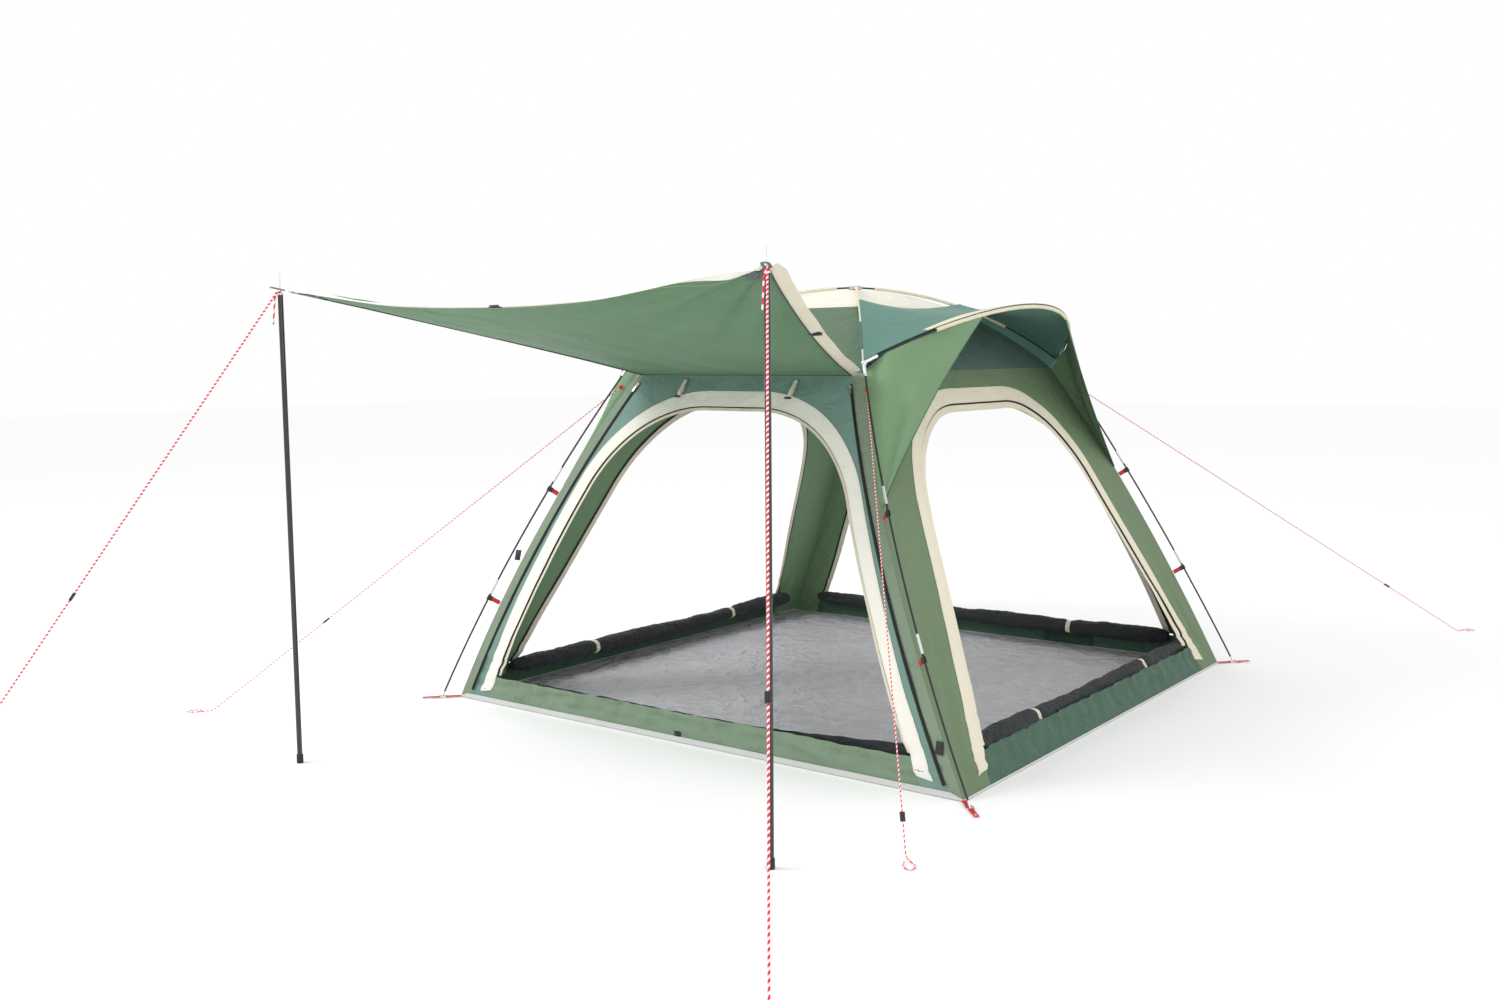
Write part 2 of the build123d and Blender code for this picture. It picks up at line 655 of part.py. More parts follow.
tapes = []
for name, side in (("left", -1), ("right", 1)):
    arc = Edge.make_three_point_arc(*zip_line(side))
    start = arc @ 0
    down = arc % 0
    centre = arc.arc_center
    out = (start - centre).normalized()
    print("zip", name, "centre", centre, "axis", out.cross(down), "arc length", round(arc.length, 1))
    with BuildPart() as tape:
        with BuildLine() as path:
            ThreePointArc(*zip_line(side))
        with BuildSketch(Plane(origin=start, x_dir=out.cross(down), z_dir=down)):
            Rectangle(TAPE_W, TAPE_T)
        sweep()
    tapes.append(tape.part)
    place = Plane(origin=start + down * (SLIDER_L / 2 + 4) + out * (TAPE_T / 2 + 0.4), x_dir=down, z_dir=out)
    with BuildPart() as slider:
        with BuildSketch(place):
            RectangleRounded(SLIDER_L, 12, 4)
        extrude(amount=3)
        with BuildSketch(place.offset(3)):
            with Locations((0, 4.2), (0, -4.2)):
                Rectangle(7, 2)
        extrude(amount=6.5)
        with BuildSketch(Plane(origin=place.origin + out * 6.6, z_dir=out.cross(down)).offset(-5.2)):
            Circle(1.2)
        extrude(amount=10.4)
    save(slider.part, f"front_zip_slider_{name}")
    hang = Plane(origin=place.origin + out * 6.6, x_dir=down, z_dir=out.cross(down)).offset(-2.6)
    with BuildPart() as pull:
        with BuildSketch(hang):
            Circle(2.9)
            with Locations((PULL_L / 2, 0)):
                Rectangle(PULL_L, 2)
            Circle(1.25, mode=Mode.SUBTRACT)
        extrude(amount=5.2)
        with BuildSketch(Plane(origin=place.origin + out * 5.6 + down * PULL_L * 0.62, x_dir=down, z_dir=out)):
            SlotOverall(PULL_L * 0.7, 9)
        extrude(amount=2)
    save(pull.part, f"front_zip_pull_{name}")
    print("pull pivot", place.origin + out * 6.6)
group(tapes, "front_zip_tapes")

# ---------------------------------------------------------------- roll-up toggles under the awning seam
TOGGLE_X = 322.0
TOGGLE_Z = 1606.0
LOOP_L = 92.0
for name, side in (("left", -1), ("right", 1)):
    low_z = TOGGLE_Z - LOOP_L
    top = Vector(side * TOGGLE_X, -wall_y(TOGGLE_Z) - 6, TOGGLE_Z)
    low = Vector(side * TOGGLE_X, -wall_y(low_z) - 7, low_z)
    hang = Plane(origin=top, x_dir=low - top, z_dir=(-1, 0, 0))
    with BuildPart() as toggle_loop:
        with BuildSketch(hang.offset(-9)):
            Circle(3.4)
            with Locations((LOOP_L / 2, 0)):
                Rectangle(LOOP_L, 1.6)
            Circle(1.6, mode=Mode.SUBTRACT)
        extrude(amount=18)
    with BuildPart() as toggle_bar:
        with BuildSketch(hang.offset(-18)):
            with Locations((LOOP_L - 8, 6.2)):
                Circle(5)
        extrude(amount=36)
    group([toggle_loop.part, toggle_bar.part], f"toggle_{name}")
    print("toggle pivot", top)
toggle_pins = []
for side in (-1, 1):
    with BuildPart() as toggle_pin:
        with BuildSketch(Plane.YZ.offset(side * TOGGLE_X - 14)):
            with Locations((-wall_y(TOGGLE_Z) - 6, TOGGLE_Z)):
                Circle(1.5)
        extrude(amount=28)
    toggle_pins.append(toggle_pin.part)
group(toggle_pins, "toggle_stitch_bars")

# ---------------------------------------------------------------- rolled mesh doors, their ties and a pocket
ROLL_R = 42.0
ROLL_Z = 128.0
TIE_R = 3.0
INSET = 58.0


def roll(start, end, radius, sag):
    """Rolled door lying along a sill: a round bar that sags a little between its ends."""
    middle = (start + end) * 0.5 - Vector(0, 0, sag)
    with BuildPart() as bar:
        with BuildLine() as path:
            ThreePointArc(start, middle, end)
        with BuildSketch(Plane(origin=path.line @ 0, z_dir=path.line % 0)):
            Circle(radius)
        sweep()
    return bar.part


side_x = wall_x(ROLL_Z) - INSET
end_y = wall_y(ROLL_Z) - INSET
ROLLS = {
    "left": (Vector(-side_x, -1230, ROLL_Z), Vector(-side_x, 1230, ROLL_Z), ROLL_R),
    "right": (Vector(side_x, -1230, ROLL_Z), Vector(side_x, 1230, ROLL_Z), ROLL_R),
    "back": (Vector(-1180, end_y, ROLL_Z), Vector(1180, end_y, ROLL_Z), ROLL_R),
    "front": (Vector(-1180, -end_y, ROLL_Z - 38), Vector(1180, -end_y, ROLL_Z - 38), 30.0),
}
ties = []
rolls = []
for start, end, radius in ROLLS.values():
    rolls.append(roll(start, end, radius, 10.0))
    arc = Edge.make_three_point_arc(start, (start + end) * 0.5 - Vector(0, 0, 10), end)
    for t in (0.25, 0.75):
        with BuildPart() as tie:
            with BuildSketch(Plane(origin=arc @ t, z_dir=arc % t).offset(-7)):
                Circle(radius + TIE_R)
                Circle(radius + 0.4, mode=Mode.SUBTRACT)
            extrude(amount=14)
        ties.append(tie.part)
group(rolls, "mesh_rolls")
group(ties, "mesh_roll_ties")

with BuildPart() as mesh_pocket:
    with BuildSketch(Plane.XZ.offset(-wall_y(40) + 16)):
        with Locations((560, 45)):
            Rectangle(300, 62)
    extrude(amount=8)
save(mesh_pocket.part, "mesh_pocket")

# ---------------------------------------------------------------- guy tabs, ropes, tensioners and knots
TAB = (718.0, 1030.0, 1566.0)
TABS = {name: mirrored(TAB, corner) for name, corner in CORNERS.items()}
TABS["back_right"] = Vector(735, 1030, 1560)
tabs = []
for name, corner in CORNERS.items():
    at = TABS[name]
    root = Vector(corner[0] * (wall_x(at.Z) + 16), corner[1] * (wall_y(at.Z) + 12), at.Z + 5)
    line = at - root
    with BuildPart() as tab:
        with BuildSketch(Plane(origin=root + line * 0.5, x_dir=line, z_dir=line.cross(Vector(0, 0, 1)))):
            Rectangle(line.length, 20)
        extrude(amount=1.25, both=True)
    tabs.append(tab.part)
group(tabs, "guy_tabs")

ANCHORS = {
    "front_left": Vector(-2259, -2425, 0),
    "front_right": Vector(1600, -2170, 0),
    "back_right": Vector(2379, 3233, 0),
}
AWNING_ANCHORS = {"left": Vector(-2060, -3790, 0), "right": Vector(1950, -3450, 0)}
SLIDE_AT = {"front_left": 0.72, "front_right": 0.93, "back_right": 0.8}
TENSIONER = (34.0, 14.0, 9.0)
KNOT_R = 0.95  # of the rope's diameter


def ground_loop(anchor, toward, d):
    """Points of the loop at a rope's ground end, laid flat, that comes back to its knot."""
    side = Vector(-toward.Y, toward.X, 0)
    low = d / 2 + 1.2
    steps = ((-60, 0, low), (-16, 7, low), (22, 24, low), (58, 14, low), (60, -14, low))
    steps += ((24, -24, low + 1), (-8, -12, d * KNOT_R + 0.1))
    return [anchor + Vector(0, 0, z) + toward * (u * d / 5) + side * (v * d / 5) for u, v, z in steps]


def rope_route(start, anchor, d):
    flat = Vector(anchor.X - start.X, anchor.Y - start.Y, 0).normalized()
    return [start] + ground_loop(anchor, flat, d)


def rope(points, d, name):
    """Cord of straight runs and tangent arcs along a route."""
    radii = []
    for before, here, after in zip(points, points[1:], points[2:]):
        turn = math.radians((here - before).get_angle(after - here))
        radii.append(0.45 * min((here - before).length, (after - here).length) / math.tan(turn / 2))
    with BuildPart() as cord:
        with BuildLine() as path:
            FilletPolyline(*points, radius=radii)
        with BuildSketch(Plane(origin=path.line @ 0, z_dir=path.line % 0)):
            Circle(d / 2)
        sweep()
    length = sum(edge.length for edge in path.line.edges())
    expected = math.pi * d * d / 4 * length
    print(name, "length", round(length), "radii", [round(r) for r in radii], end=" ")
    print("volume ratio", round(cord.part.volume / expected, 4))
    save(cord.part, name)
    return cord.part


def tensioner(name, route, share, d):
    """Plastic slider with a hole for the rope, on the rope's straight stretch."""
    start, end = route[0], route[1]
    along = (end - start).normalized()
    at = start + (end - start) * share
    seat = Plane(origin=at, x_dir=Vector(-along.Y, along.X, 0), z_dir=along)
    with BuildPart() as slide:
        with BuildSketch(seat.offset(-TENSIONER[0] / 2)):
            RectangleRounded(TENSIONER[1] + d, TENSIONER[2] + d - 5, 4)
            Circle(d / 2 + 0.3, mode=Mode.SUBTRACT)
        extrude(amount=TENSIONER[0])
    save(slide.part, name)
    print(name, "at", at, "axis", along)


knots = []


def knot(at, d):
    with BuildPart() as ball:
        with Locations(at):
            Sphere(d * KNOT_R)
    knots.append(ball.part)


for name, anchor in ANCHORS.items():
    start = TABS[name]
    out = Vector(anchor.X - start.X, anchor.Y - start.Y, anchor.Z - start.Z).normalized()
    route = rope_route(start + out * 8, anchor, ROPE_D)
    rope(route, ROPE_D, f"guy_rope_{name}")
    tensioner(f"guy_tensioner_{name}", route, SLIDE_AT[name], ROPE_D)
    knot(route[0], ROPE_D)
    knot(route[-1], ROPE_D)

for name, anchor in AWNING_ANCHORS.items():
    tip = Vector(*AWNING_POLES[name], POLE_TOP_Z + 11)
    with BuildPart() as spike_loop:
        with Locations(tip):
            Torus(SPIKE_R + 0.2 + AWNING_ROPE_D / 2, AWNING_ROPE_D / 2)
    knots.append(spike_loop.part)
    flat = Vector(anchor.X - tip.X, anchor.Y - tip.Y, 0).normalized()
    start = tip + flat * (POLE_R + 2)
    route = rope_route(start, anchor, AWNING_ROPE_D)
    rope(route, AWNING_ROPE_D, f"awning_rope_{name}")
    tensioner(f"awning_tensioner_{name}", route, 0.62, AWNING_ROPE_D)
    knot(route[-1], AWNING_ROPE_D)
group(knots, "rope_knots")
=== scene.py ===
import math

import bmesh
import bpy
from mathutils import Matrix, Vector, noise


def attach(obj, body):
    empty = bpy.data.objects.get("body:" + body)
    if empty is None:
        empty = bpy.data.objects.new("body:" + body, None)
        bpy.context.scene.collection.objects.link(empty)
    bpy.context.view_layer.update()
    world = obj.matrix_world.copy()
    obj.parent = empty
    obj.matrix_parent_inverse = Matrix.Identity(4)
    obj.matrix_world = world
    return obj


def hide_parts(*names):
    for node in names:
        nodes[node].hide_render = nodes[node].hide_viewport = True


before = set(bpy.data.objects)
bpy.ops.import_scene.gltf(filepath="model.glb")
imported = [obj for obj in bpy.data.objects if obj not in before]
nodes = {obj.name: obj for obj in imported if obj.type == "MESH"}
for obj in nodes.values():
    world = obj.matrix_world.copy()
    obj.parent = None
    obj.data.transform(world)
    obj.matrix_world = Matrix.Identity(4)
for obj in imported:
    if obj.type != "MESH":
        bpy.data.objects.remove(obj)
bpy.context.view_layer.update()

UP = Vector((0, 0, 1))

# ---------------------------------------------------------------- studio
# A pale floor under a white sky, one big soft lamp in front on the left and a weaker one on the
# right. The tent is seen by a standing person, a little to the right of its awning side.


def set_inputs(node, values):
    """Sets a node's inputs. An underscore stands for a space in an input's name."""
    for label, value in values.items():
        node.inputs[label.replace("_", " ")].default_value = value


def surface(name, colour, roughness, **more):
    """New material with its shader, ready for a pattern."""
    material = bpy.data.materials.new(name)
    material.use_nodes = True
    shader = material.node_tree.nodes["Principled BSDF"]
    shader.inputs["Base Color"].default_value = (*colour, 1.0)
    shader.inputs["Roughness"].default_value = roughness
    set_inputs(shader, more)
    return material, material.node_tree, shader


FLOOR_HALF = 40.0
FLOOR_DROP = -0.0015
floor_mesh = bpy.data.meshes.new("studio_floor")
signs = ((-1, -1), (1, -1), (1, 1), (-1, 1))
floor_corners = [(sx * FLOOR_HALF, sy * FLOOR_HALF, FLOOR_DROP) for sx, sy in signs]
floor_mesh.from_pydata(floor_corners, [], [(0, 1, 2, 3)])
studio_floor = bpy.data.objects.new("studio_floor", floor_mesh)
bpy.context.collection.objects.link(studio_floor)
floor_mesh.materials.append(surface("studio_floor_paint", (0.97, 0.97, 0.97), 0.9)[0])

world = bpy.data.worlds.new("studio_sky")
bpy.context.scene.world = world
world.use_nodes = True
world.node_tree.nodes["Background"].inputs["Color"].default_value = (1.0, 1.0, 1.0, 1.0)
world.node_tree.nodes["Background"].inputs["Strength"].default_value = 1.0

TENT_MIDDLE = Vector((0.0, -0.4, 1.0))
LAMPS = {"key_lamp": ((-4.5, -6.5, 6.5), 3.0, 330.0), "fill_lamp": ((7.0, -4.0, 3.0), 3.0, 70.0)}
for name, (place, size, power) in LAMPS.items():
    lamp = bpy.data.lights.new(name, "AREA")
    lamp.size = size
    lamp.energy = power
    holder = bpy.data.objects.new(name, lamp)
    holder.location = place
    holder.rotation_euler = (TENT_MIDDLE - Vector(place)).to_track_quat("-Z", "Y").to_euler()
    bpy.context.collection.objects.link(holder)

CAMERA_AT = Vector((3.910, -6.115, 1.722))
CAMERA_TURN = 0.64523
CAMERA_DOWN = 0.10432
CAMERA_ROLL = -0.00776
eye = bpy.data.cameras.new("camera")
eye.lens = 33.21
eye.sensor_width = 36.0
ahead = Vector((-math.sin(CAMERA_TURN), math.cos(CAMERA_TURN), -math.tan(CAMERA_DOWN))).normalized()
level = Vector((math.cos(CAMERA_TURN), math.sin(CAMERA_TURN), 0.0))
upright = level.cross(ahead)
right = level * math.cos(CAMERA_ROLL) + upright * math.sin(CAMERA_ROLL)
above = upright * math.cos(CAMERA_ROLL) - level * math.sin(CAMERA_ROLL)
camera = bpy.data.objects.new("camera", eye)
camera.matrix_world = Matrix.Translation(CAMERA_AT) @ Matrix((right, above, -ahead)).transposed().to_4x4()
bpy.context.collection.objects.link(camera)
bpy.context.scene.camera = camera
bpy.context.scene.view_settings.view_transform = "Standard"

# ---------------------------------------------------------------- guy ropes
# Braided polyester cord, white with red flecks. Each rope runs straight from its tab or its pole tip
# to the ground, ends there in a tied loop for a peg, and carries a plastic tensioner.

EAVE_Z = 1.640
ROPE_D = 0.005
AWNING_ROPE_D = 0.008
KNOT_R = 0.95  # of the rope's diameter
FLECK = 0.018  # length of one red and white repeat
FLECK_RED = (0.56, (0.72, 0.02, 0.05, 1))
FLECK_WHITE = (0.70, (0.92, 0.86, 0.84, 1))
TAB = (0.718, 1.030, 1.566)
TABS = {
    "front_left": Vector((-TAB[0], -TAB[1], TAB[2])),
    "front_right": Vector((TAB[0], -TAB[1], TAB[2])),
    "back_right": Vector((0.735, 1.030, 1.560)),
}
ANCHORS = {
    "front_left": Vector((-2.259, -2.425, 0)),
    "front_right": Vector((1.600, -2.170, 0)),
    "back_right": Vector((2.379, 3.233, 0)),
}
AWNING_POLES = {"left": (-1.118, -2.657), "right": (1.245, -2.473)}
AWNING_ANCHORS = {"left": Vector((-2.060, -3.790, 0)), "right": Vector((1.950, -3.450, 0))}
POLE_TOP_Z = 1.985
SPIKE_LOOP_R = 0.0072


def add(tree, kind, **values):
    """New node, with values for its inputs."""
    node = tree.nodes.new(kind)
    set_inputs(node, values)
    return node


def join(tree, *links):
    """Links nodes. Each link is a node and its output, then a node and its input."""
    for source, out, target, into in links:
        tree.links.new(source.outputs[out], target.inputs[into])


def tone_mix(tree, colour, low, high):
    """Node that mixes a darker and a lighter tone of a colour."""
    mix = add(tree, "ShaderNodeMix")
    mix.data_type = "RGBA"
    mix.inputs["A"].default_value = (*[c * low for c in colour], 1)
    mix.inputs["B"].default_value = (*[min(1.0, c * high) for c in colour], 1)
    return mix


def flecked_cord(name, end):
    """Braid whose red flecks come at even distances from its ground end and wind round the cord."""
    material, tree, shader = surface(name, (0.9, 0.88, 0.86), 0.7)
    place = add(tree, "ShaderNodeTexCoord")
    split = add(tree, "ShaderNodeSeparateXYZ")
    gone = add(tree, "ShaderNodeVectorMath")
    gone.operation = "DISTANCE"
    gone.inputs[1].default_value = end
    wind = add(tree, "ShaderNodeMath")
    wind.operation = "MULTIPLY_ADD"
    wind.inputs[1].default_value = 1 / FLECK
    turn = add(tree, "ShaderNodeCombineXYZ")
    bands = add(tree, "ShaderNodeTexWave", Scale=math.pi / 10)
    ramp = add(tree, "ShaderNodeValToRGB")
    for stop, (position, colour) in zip(ramp.color_ramp.elements, (FLECK_RED, FLECK_WHITE)):
        stop.position = position
        stop.color = colour
    bump = add(tree, "ShaderNodeBump", Strength=0.6, Distance=0.0006)
    join(
        tree,
        (place, "Object", gone, 0),
        (place, "UV", split, "Vector"),
        (gone, "Value", wind, 0),
        (split, "Y", wind, 2),
        (wind, "Value", turn, "X"),
        (turn, "Vector", bands, "Vector"),
        (bands, "Fac", ramp, "Fac"),
        (ramp, "Color", shader, "Base Color"),
        (bands, "Fac", bump, "Height"),
        (bump, "Normal", shader, "Normal"),
    )
    return material


def ground_loop(anchor, toward, d):
    """Points of the loop at a rope's ground end, laid flat, that comes back to its knot."""
    across = Vector((-toward.y, toward.x, 0))
    low = d / 2 + 0.0012
    steps = ((-60, 0, low), (-16, 7, low), (22, 24, low), (58, 14, low), (60, -14, low))
    steps += ((24, -24, low + 0.001), (-8, -12, d * KNOT_R + 0.0001))
    return [anchor + Vector((0, 0, z)) + toward * (u * d / 5) + across * (v * d / 5) for u, v, z in steps]


def rope_length(points):
    """Length of the cord's smooth line, read from a curve with no bevel."""
    line = bpy.data.curves.new("measure", "CURVE")
    line.dimensions = "3D"
    add_route(line, points)
    holder = bpy.data.objects.new("measure", line)
    thread = bpy.data.meshes.new_from_object(holder)
    ends = [v.co.copy() for v in thread.vertices]
    bpy.data.objects.remove(holder)
    return sum((b - a).length for a, b in zip(ends, ends[1:]))


def add_route(line, points):
    spline = line.splines.new("NURBS")
    spline.points.add(len(points) - 1)
    for control, point in zip(spline.points, points):
        control.co = (*point, 1.0)
    spline.order_u = 3
    spline.use_endpoint_u = True
    spline.resolution_u = 12


def free_rope(name, node, start, anchor, d):
    """A rope on its whole route."""
    toward = Vector((anchor.x - start.x, anchor.y - start.y, 0)).normalized()
    loop = ground_loop(anchor, toward, d)
    straight_end = loop[0] + (start - loop[0]).normalized() * 6 * d
    points = [start, straight_end, *loop]
    line = bpy.data.curves.new(name, "CURVE")
    line.dimensions = "3D"
    add_route(line, points)
    line.bevel_depth = d / 2
    line.bevel_resolution = 3
    line.use_fill_caps = True
    rope = bpy.data.objects.new(name, line)
    bpy.context.collection.objects.link(rope)
    length = rope_length(points)
    line.materials.append(flecked_cord(f"{name}_finish", anchor))
    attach(rope, "root")
    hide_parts(node)
    return rope, points


def settle(piece):
    """Turns a piece with modifiers into a plain mesh."""
    bpy.context.view_layer.update()
    plain = bpy.data.meshes.new_from_object(piece.evaluated_get(bpy.context.evaluated_depsgraph_get()))
    piece.modifiers.clear()
    piece.data = plain
    return piece


def mesh_piece(name, verts, faces, materials, finish=None, smooth_angle=40.0):
    """Mesh object at the origin, with smooth faces and sharp folds."""
    mesh = bpy.data.meshes.new(name)
    mesh.from_pydata([tuple(v) for v in verts], [], faces)
    for material in materials:
        mesh.materials.append(material)
    if finish:
        mesh.polygons.foreach_set("material_index", finish)
    mesh.shade_smooth()
    mesh.set_sharp_from_angle(angle=math.radians(smooth_angle))
    piece = bpy.data.objects.new(name, mesh)
    bpy.context.collection.objects.link(piece)
    return piece


def tube_mesh(path, radius, sides, normal, closed=False):
    """Corners and faces of a tube along a path, capped at both ends unless it closes on itself."""
    verts = []
    count = len(path)
    for i, point in enumerate(path):
        before = path[i - 1] if i or closed else point
        after = path[(i + 1) % count] if i < count - 1 or closed else point
        along = (after - before).normalized()
        first = normal.cross(along).normalized()
        second = along.cross(first)
        r = radius(i / (count - 1)) if callable(radius) else radius
        for k in range(sides):
            angle = 2 * math.pi * k / sides
            verts.append(point + first * math.cos(angle) * r + second * math.sin(angle) * r)
    faces = []
    for i in range(count if closed else count - 1):
        for k in range(sides):
            a, b = i * sides + k, i * sides + (k + 1) % sides
            c, d = (b + sides) % len(verts), (a + sides) % len(verts)
            faces.append((a, b, c, d))
    if not closed:
        faces.append(tuple(reversed(range(sides))))
        faces.append(tuple(range((count - 1) * sides, count * sides)))
    return verts, faces


def overhand_knot(at, d, heading):
    """A small trefoil of cord, pulled tight into a ball."""
    turns = 72
    up = UP if abs(heading.z) < 0.9 else Vector((1, 0, 0))
    first = heading.cross(up).normalized()
    second = heading.cross(first)
    path = []
    for i in range(turns):
        t = 2 * math.pi * i / turns
        size = 0.2 * d
        x = (math.sin(t) + 1.6 * math.sin(2 * t)) * size
        y = (math.cos(t) - 1.6 * math.cos(2 * t)) * size
        path.append(at + first * x + second * y - heading * math.sin(3 * t) * size * 1.2)
    return tube_mesh(path, 0.34 * d, 8, heading, closed=True)


def joined(parts):
    """Corners and faces of several shapes as one."""
    verts, faces = [], []
    for corners, sides in parts:
        faces += [tuple(i + len(verts) for i in face) for face in sides]
        verts += corners
    return verts, faces


knots = []
for name, anchor in ANCHORS.items():
    tab = TABS[name]
    out = (anchor - tab).normalized()
    rope, points = free_rope(
        f"guy_rope_{name}_braid", f"guy_rope_{name}", tab + out * 0.008, anchor, ROPE_D,
    )
    knots += [overhand_knot(points[0], ROPE_D, out), overhand_knot(points[-1], ROPE_D, UP)]
for name, anchor in AWNING_ANCHORS.items():
    tip = Vector((*AWNING_POLES[name], POLE_TOP_Z + 0.011))
    flat = Vector((anchor.x - tip.x, anchor.y - tip.y, 0)).normalized()
    rope, points = free_rope(
        f"awning_rope_{name}_braid", f"awning_rope_{name}", tip + flat * 0.013, anchor, AWNING_ROPE_D,
    )
    angles = [math.pi * k / 16 for k in range(32)]
    ring = [tip + Vector((math.cos(t), math.sin(t), 0)) * SPIKE_LOOP_R for t in angles]
    knots.append(tube_mesh(ring, AWNING_ROPE_D / 2, 10, UP, closed=True))
    knots.append(overhand_knot(points[-1], AWNING_ROPE_D, UP))
    down = Vector((-flat.y, flat.x, 0)) * 0.02
    tail = [tip + flat * 0.012, tip + flat * 0.02 - down * 0.3 + Vector((0, 0, -0.012))]
    for k in range(1, 7):
        fall = Vector((0, 0, -0.012 - 0.02 * k))
        tail.append(tip + flat * (0.022 + 0.002 * k) - down * (0.5 + 0.05 * k) + fall)
    knots.append(tube_mesh(tail, 0.0034, 10, Vector((0.3, 0.2, 0.1)).normalized()))
knot_verts, knot_faces = joined(knots)
red_cord = flecked_cord("knotted_cord", Vector((0, 0, 0)))
knot_piece = mesh_piece("rope_knots_tied", knot_verts, knot_faces, [red_cord])
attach(knot_piece, "root")
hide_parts("rope_knots")

# ---------------------------------------------------------------- groundsheet
# One coated grey sheet, laid out flat, with the fine crinkles of a sheet that was packed small. Its
# edge turns up a little all round and is sewn to the sills.

HALF_WIDTH = 1.440
HALF_DEPTH = 1.475
EAVE_HALF_WIDTH = 0.650
EAVE_HALF_DEPTH = 0.965
CLOTH = 0.0012


def fabric(name, colour, roughness=0.62, crinkle=0.5, crinkle_size=9.0, shade=0.10, threads=1500.0):
    """Woven cloth: slow changes of tone, soft crinkles and a fine weave that follows its own grain."""
    sheen = {"Sheen_Weight": 0.05, "Sheen_Roughness": 0.45, "Specular_IOR_Level": 0.32}
    material, tree, shader = surface(name, colour, roughness, **sheen)
    place = add(tree, "ShaderNodeTexCoord")
    tone = add(tree, "ShaderNodeTexNoise", Scale=3.1, Detail=5.0)
    mix = tone_mix(tree, colour, 1 - shade, 1 + shade)
    crease = add(
        tree, "ShaderNodeTexNoise", Scale=crinkle_size, Detail=6.0, Roughness=0.55, Distortion=0.9
    )
    warp = add(tree, "ShaderNodeTexWave", Scale=threads / 20)
    weft = add(tree, "ShaderNodeTexWave", Scale=threads / 20)
    weft.bands_direction = "Y"
    weave = add(tree, "ShaderNodeMath")
    weave.operation = "MAXIMUM"
    fold_bump = add(tree, "ShaderNodeBump", Strength=crinkle, Distance=0.03)
    weave_bump = add(tree, "ShaderNodeBump", Strength=0.25, Distance=0.00012)
    join(
        tree,
        (place, "Object", tone, "Vector"),
        (tone, "Fac", mix, "Factor"),
        (mix, "Result", shader, "Base Color"),
        (place, "Object", crease, "Vector"),
        (crease, "Fac", fold_bump, "Height"),
        (place, "UV", warp, "Vector"),
        (place, "UV", weft, "Vector"),
        (warp, "Fac", weave, 0),
        (weft, "Fac", weave, 1),
        (weave, "Value", weave_bump, "Height"),
        (fold_bump, "Normal", weave_bump, "Normal"),
        (weave_bump, "Normal", shader, "Normal"),
    )
    return material


def cloth_piece(name, patches, materials, thickness=CLOTH):
    """Cloth sewn from patches. Each is a grid of points with the number of its finish. The cloth's
    map is its flat size in metres."""
    verts, faces, finish, flat = [], [], [], []
    for rows, which in patches:
        first = len(verts)
        wide = len(rows[0])
        middle = rows[len(rows) // 2]
        u = [0.0]
        for a, b in zip(middle, middle[1:]):
            u.append(u[-1] + (b - a).length)
        v = 0.0
        for j, row in enumerate(rows):
            if j:
                v += (row[wide // 2] - rows[j - 1][wide // 2]).length
            verts += row
            flat += [(u[i], v) for i in range(wide)]
        for j in range(len(rows) - 1):
            for i in range(wide - 1):
                a = first + j * wide + i
                faces.append((a, a + 1, a + wide + 1, a + wide))
                finish.append(which)
    mesh = bpy.data.meshes.new(name)
    mesh.from_pydata([tuple(v) for v in verts], [], faces)
    for material in materials:
        mesh.materials.append(material)
    mesh.polygons.foreach_set("material_index", finish)
    layer = mesh.uv_layers.new(name="flat")
    for loop in mesh.loops:
        layer.data[loop.index].uv = flat[loop.vertex_index]
    work = bmesh.new()
    work.from_mesh(mesh)
    bmesh.ops.remove_doubles(work, verts=work.verts, dist=0.0003)
    bmesh.ops.dissolve_degenerate(work, edges=work.edges, dist=0.00005)
    work.to_mesh(mesh)
    area = sum(f.calc_area() for f in work.faces)
    work.free()
    mesh.shade_smooth()
    piece = bpy.data.objects.new(name, mesh)
    bpy.context.collection.objects.link(piece)
    if thickness:
        solid = piece.modifiers.new("thickness", "SOLIDIFY")
        solid.thickness = thickness
        solid.offset = 0.0
        settle(piece)
        piece.data.set_sharp_from_angle(angle=math.radians(50))
    return piece, area


def place_piece(piece, body, slot, *hidden):
    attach(piece, body)
    if hidden:
        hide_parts(*hidden)


def ripple(x, y, seed, size):
    """Smooth unevenness between -1 and 1, at a scale in metres."""
    return noise.noise(Vector((x / size, y / size, seed)))


def between(a, b, count):
    """Evenly spaced values from a to b."""
    return [a + (b - a) * i / (count - 1) for i in range(count)]


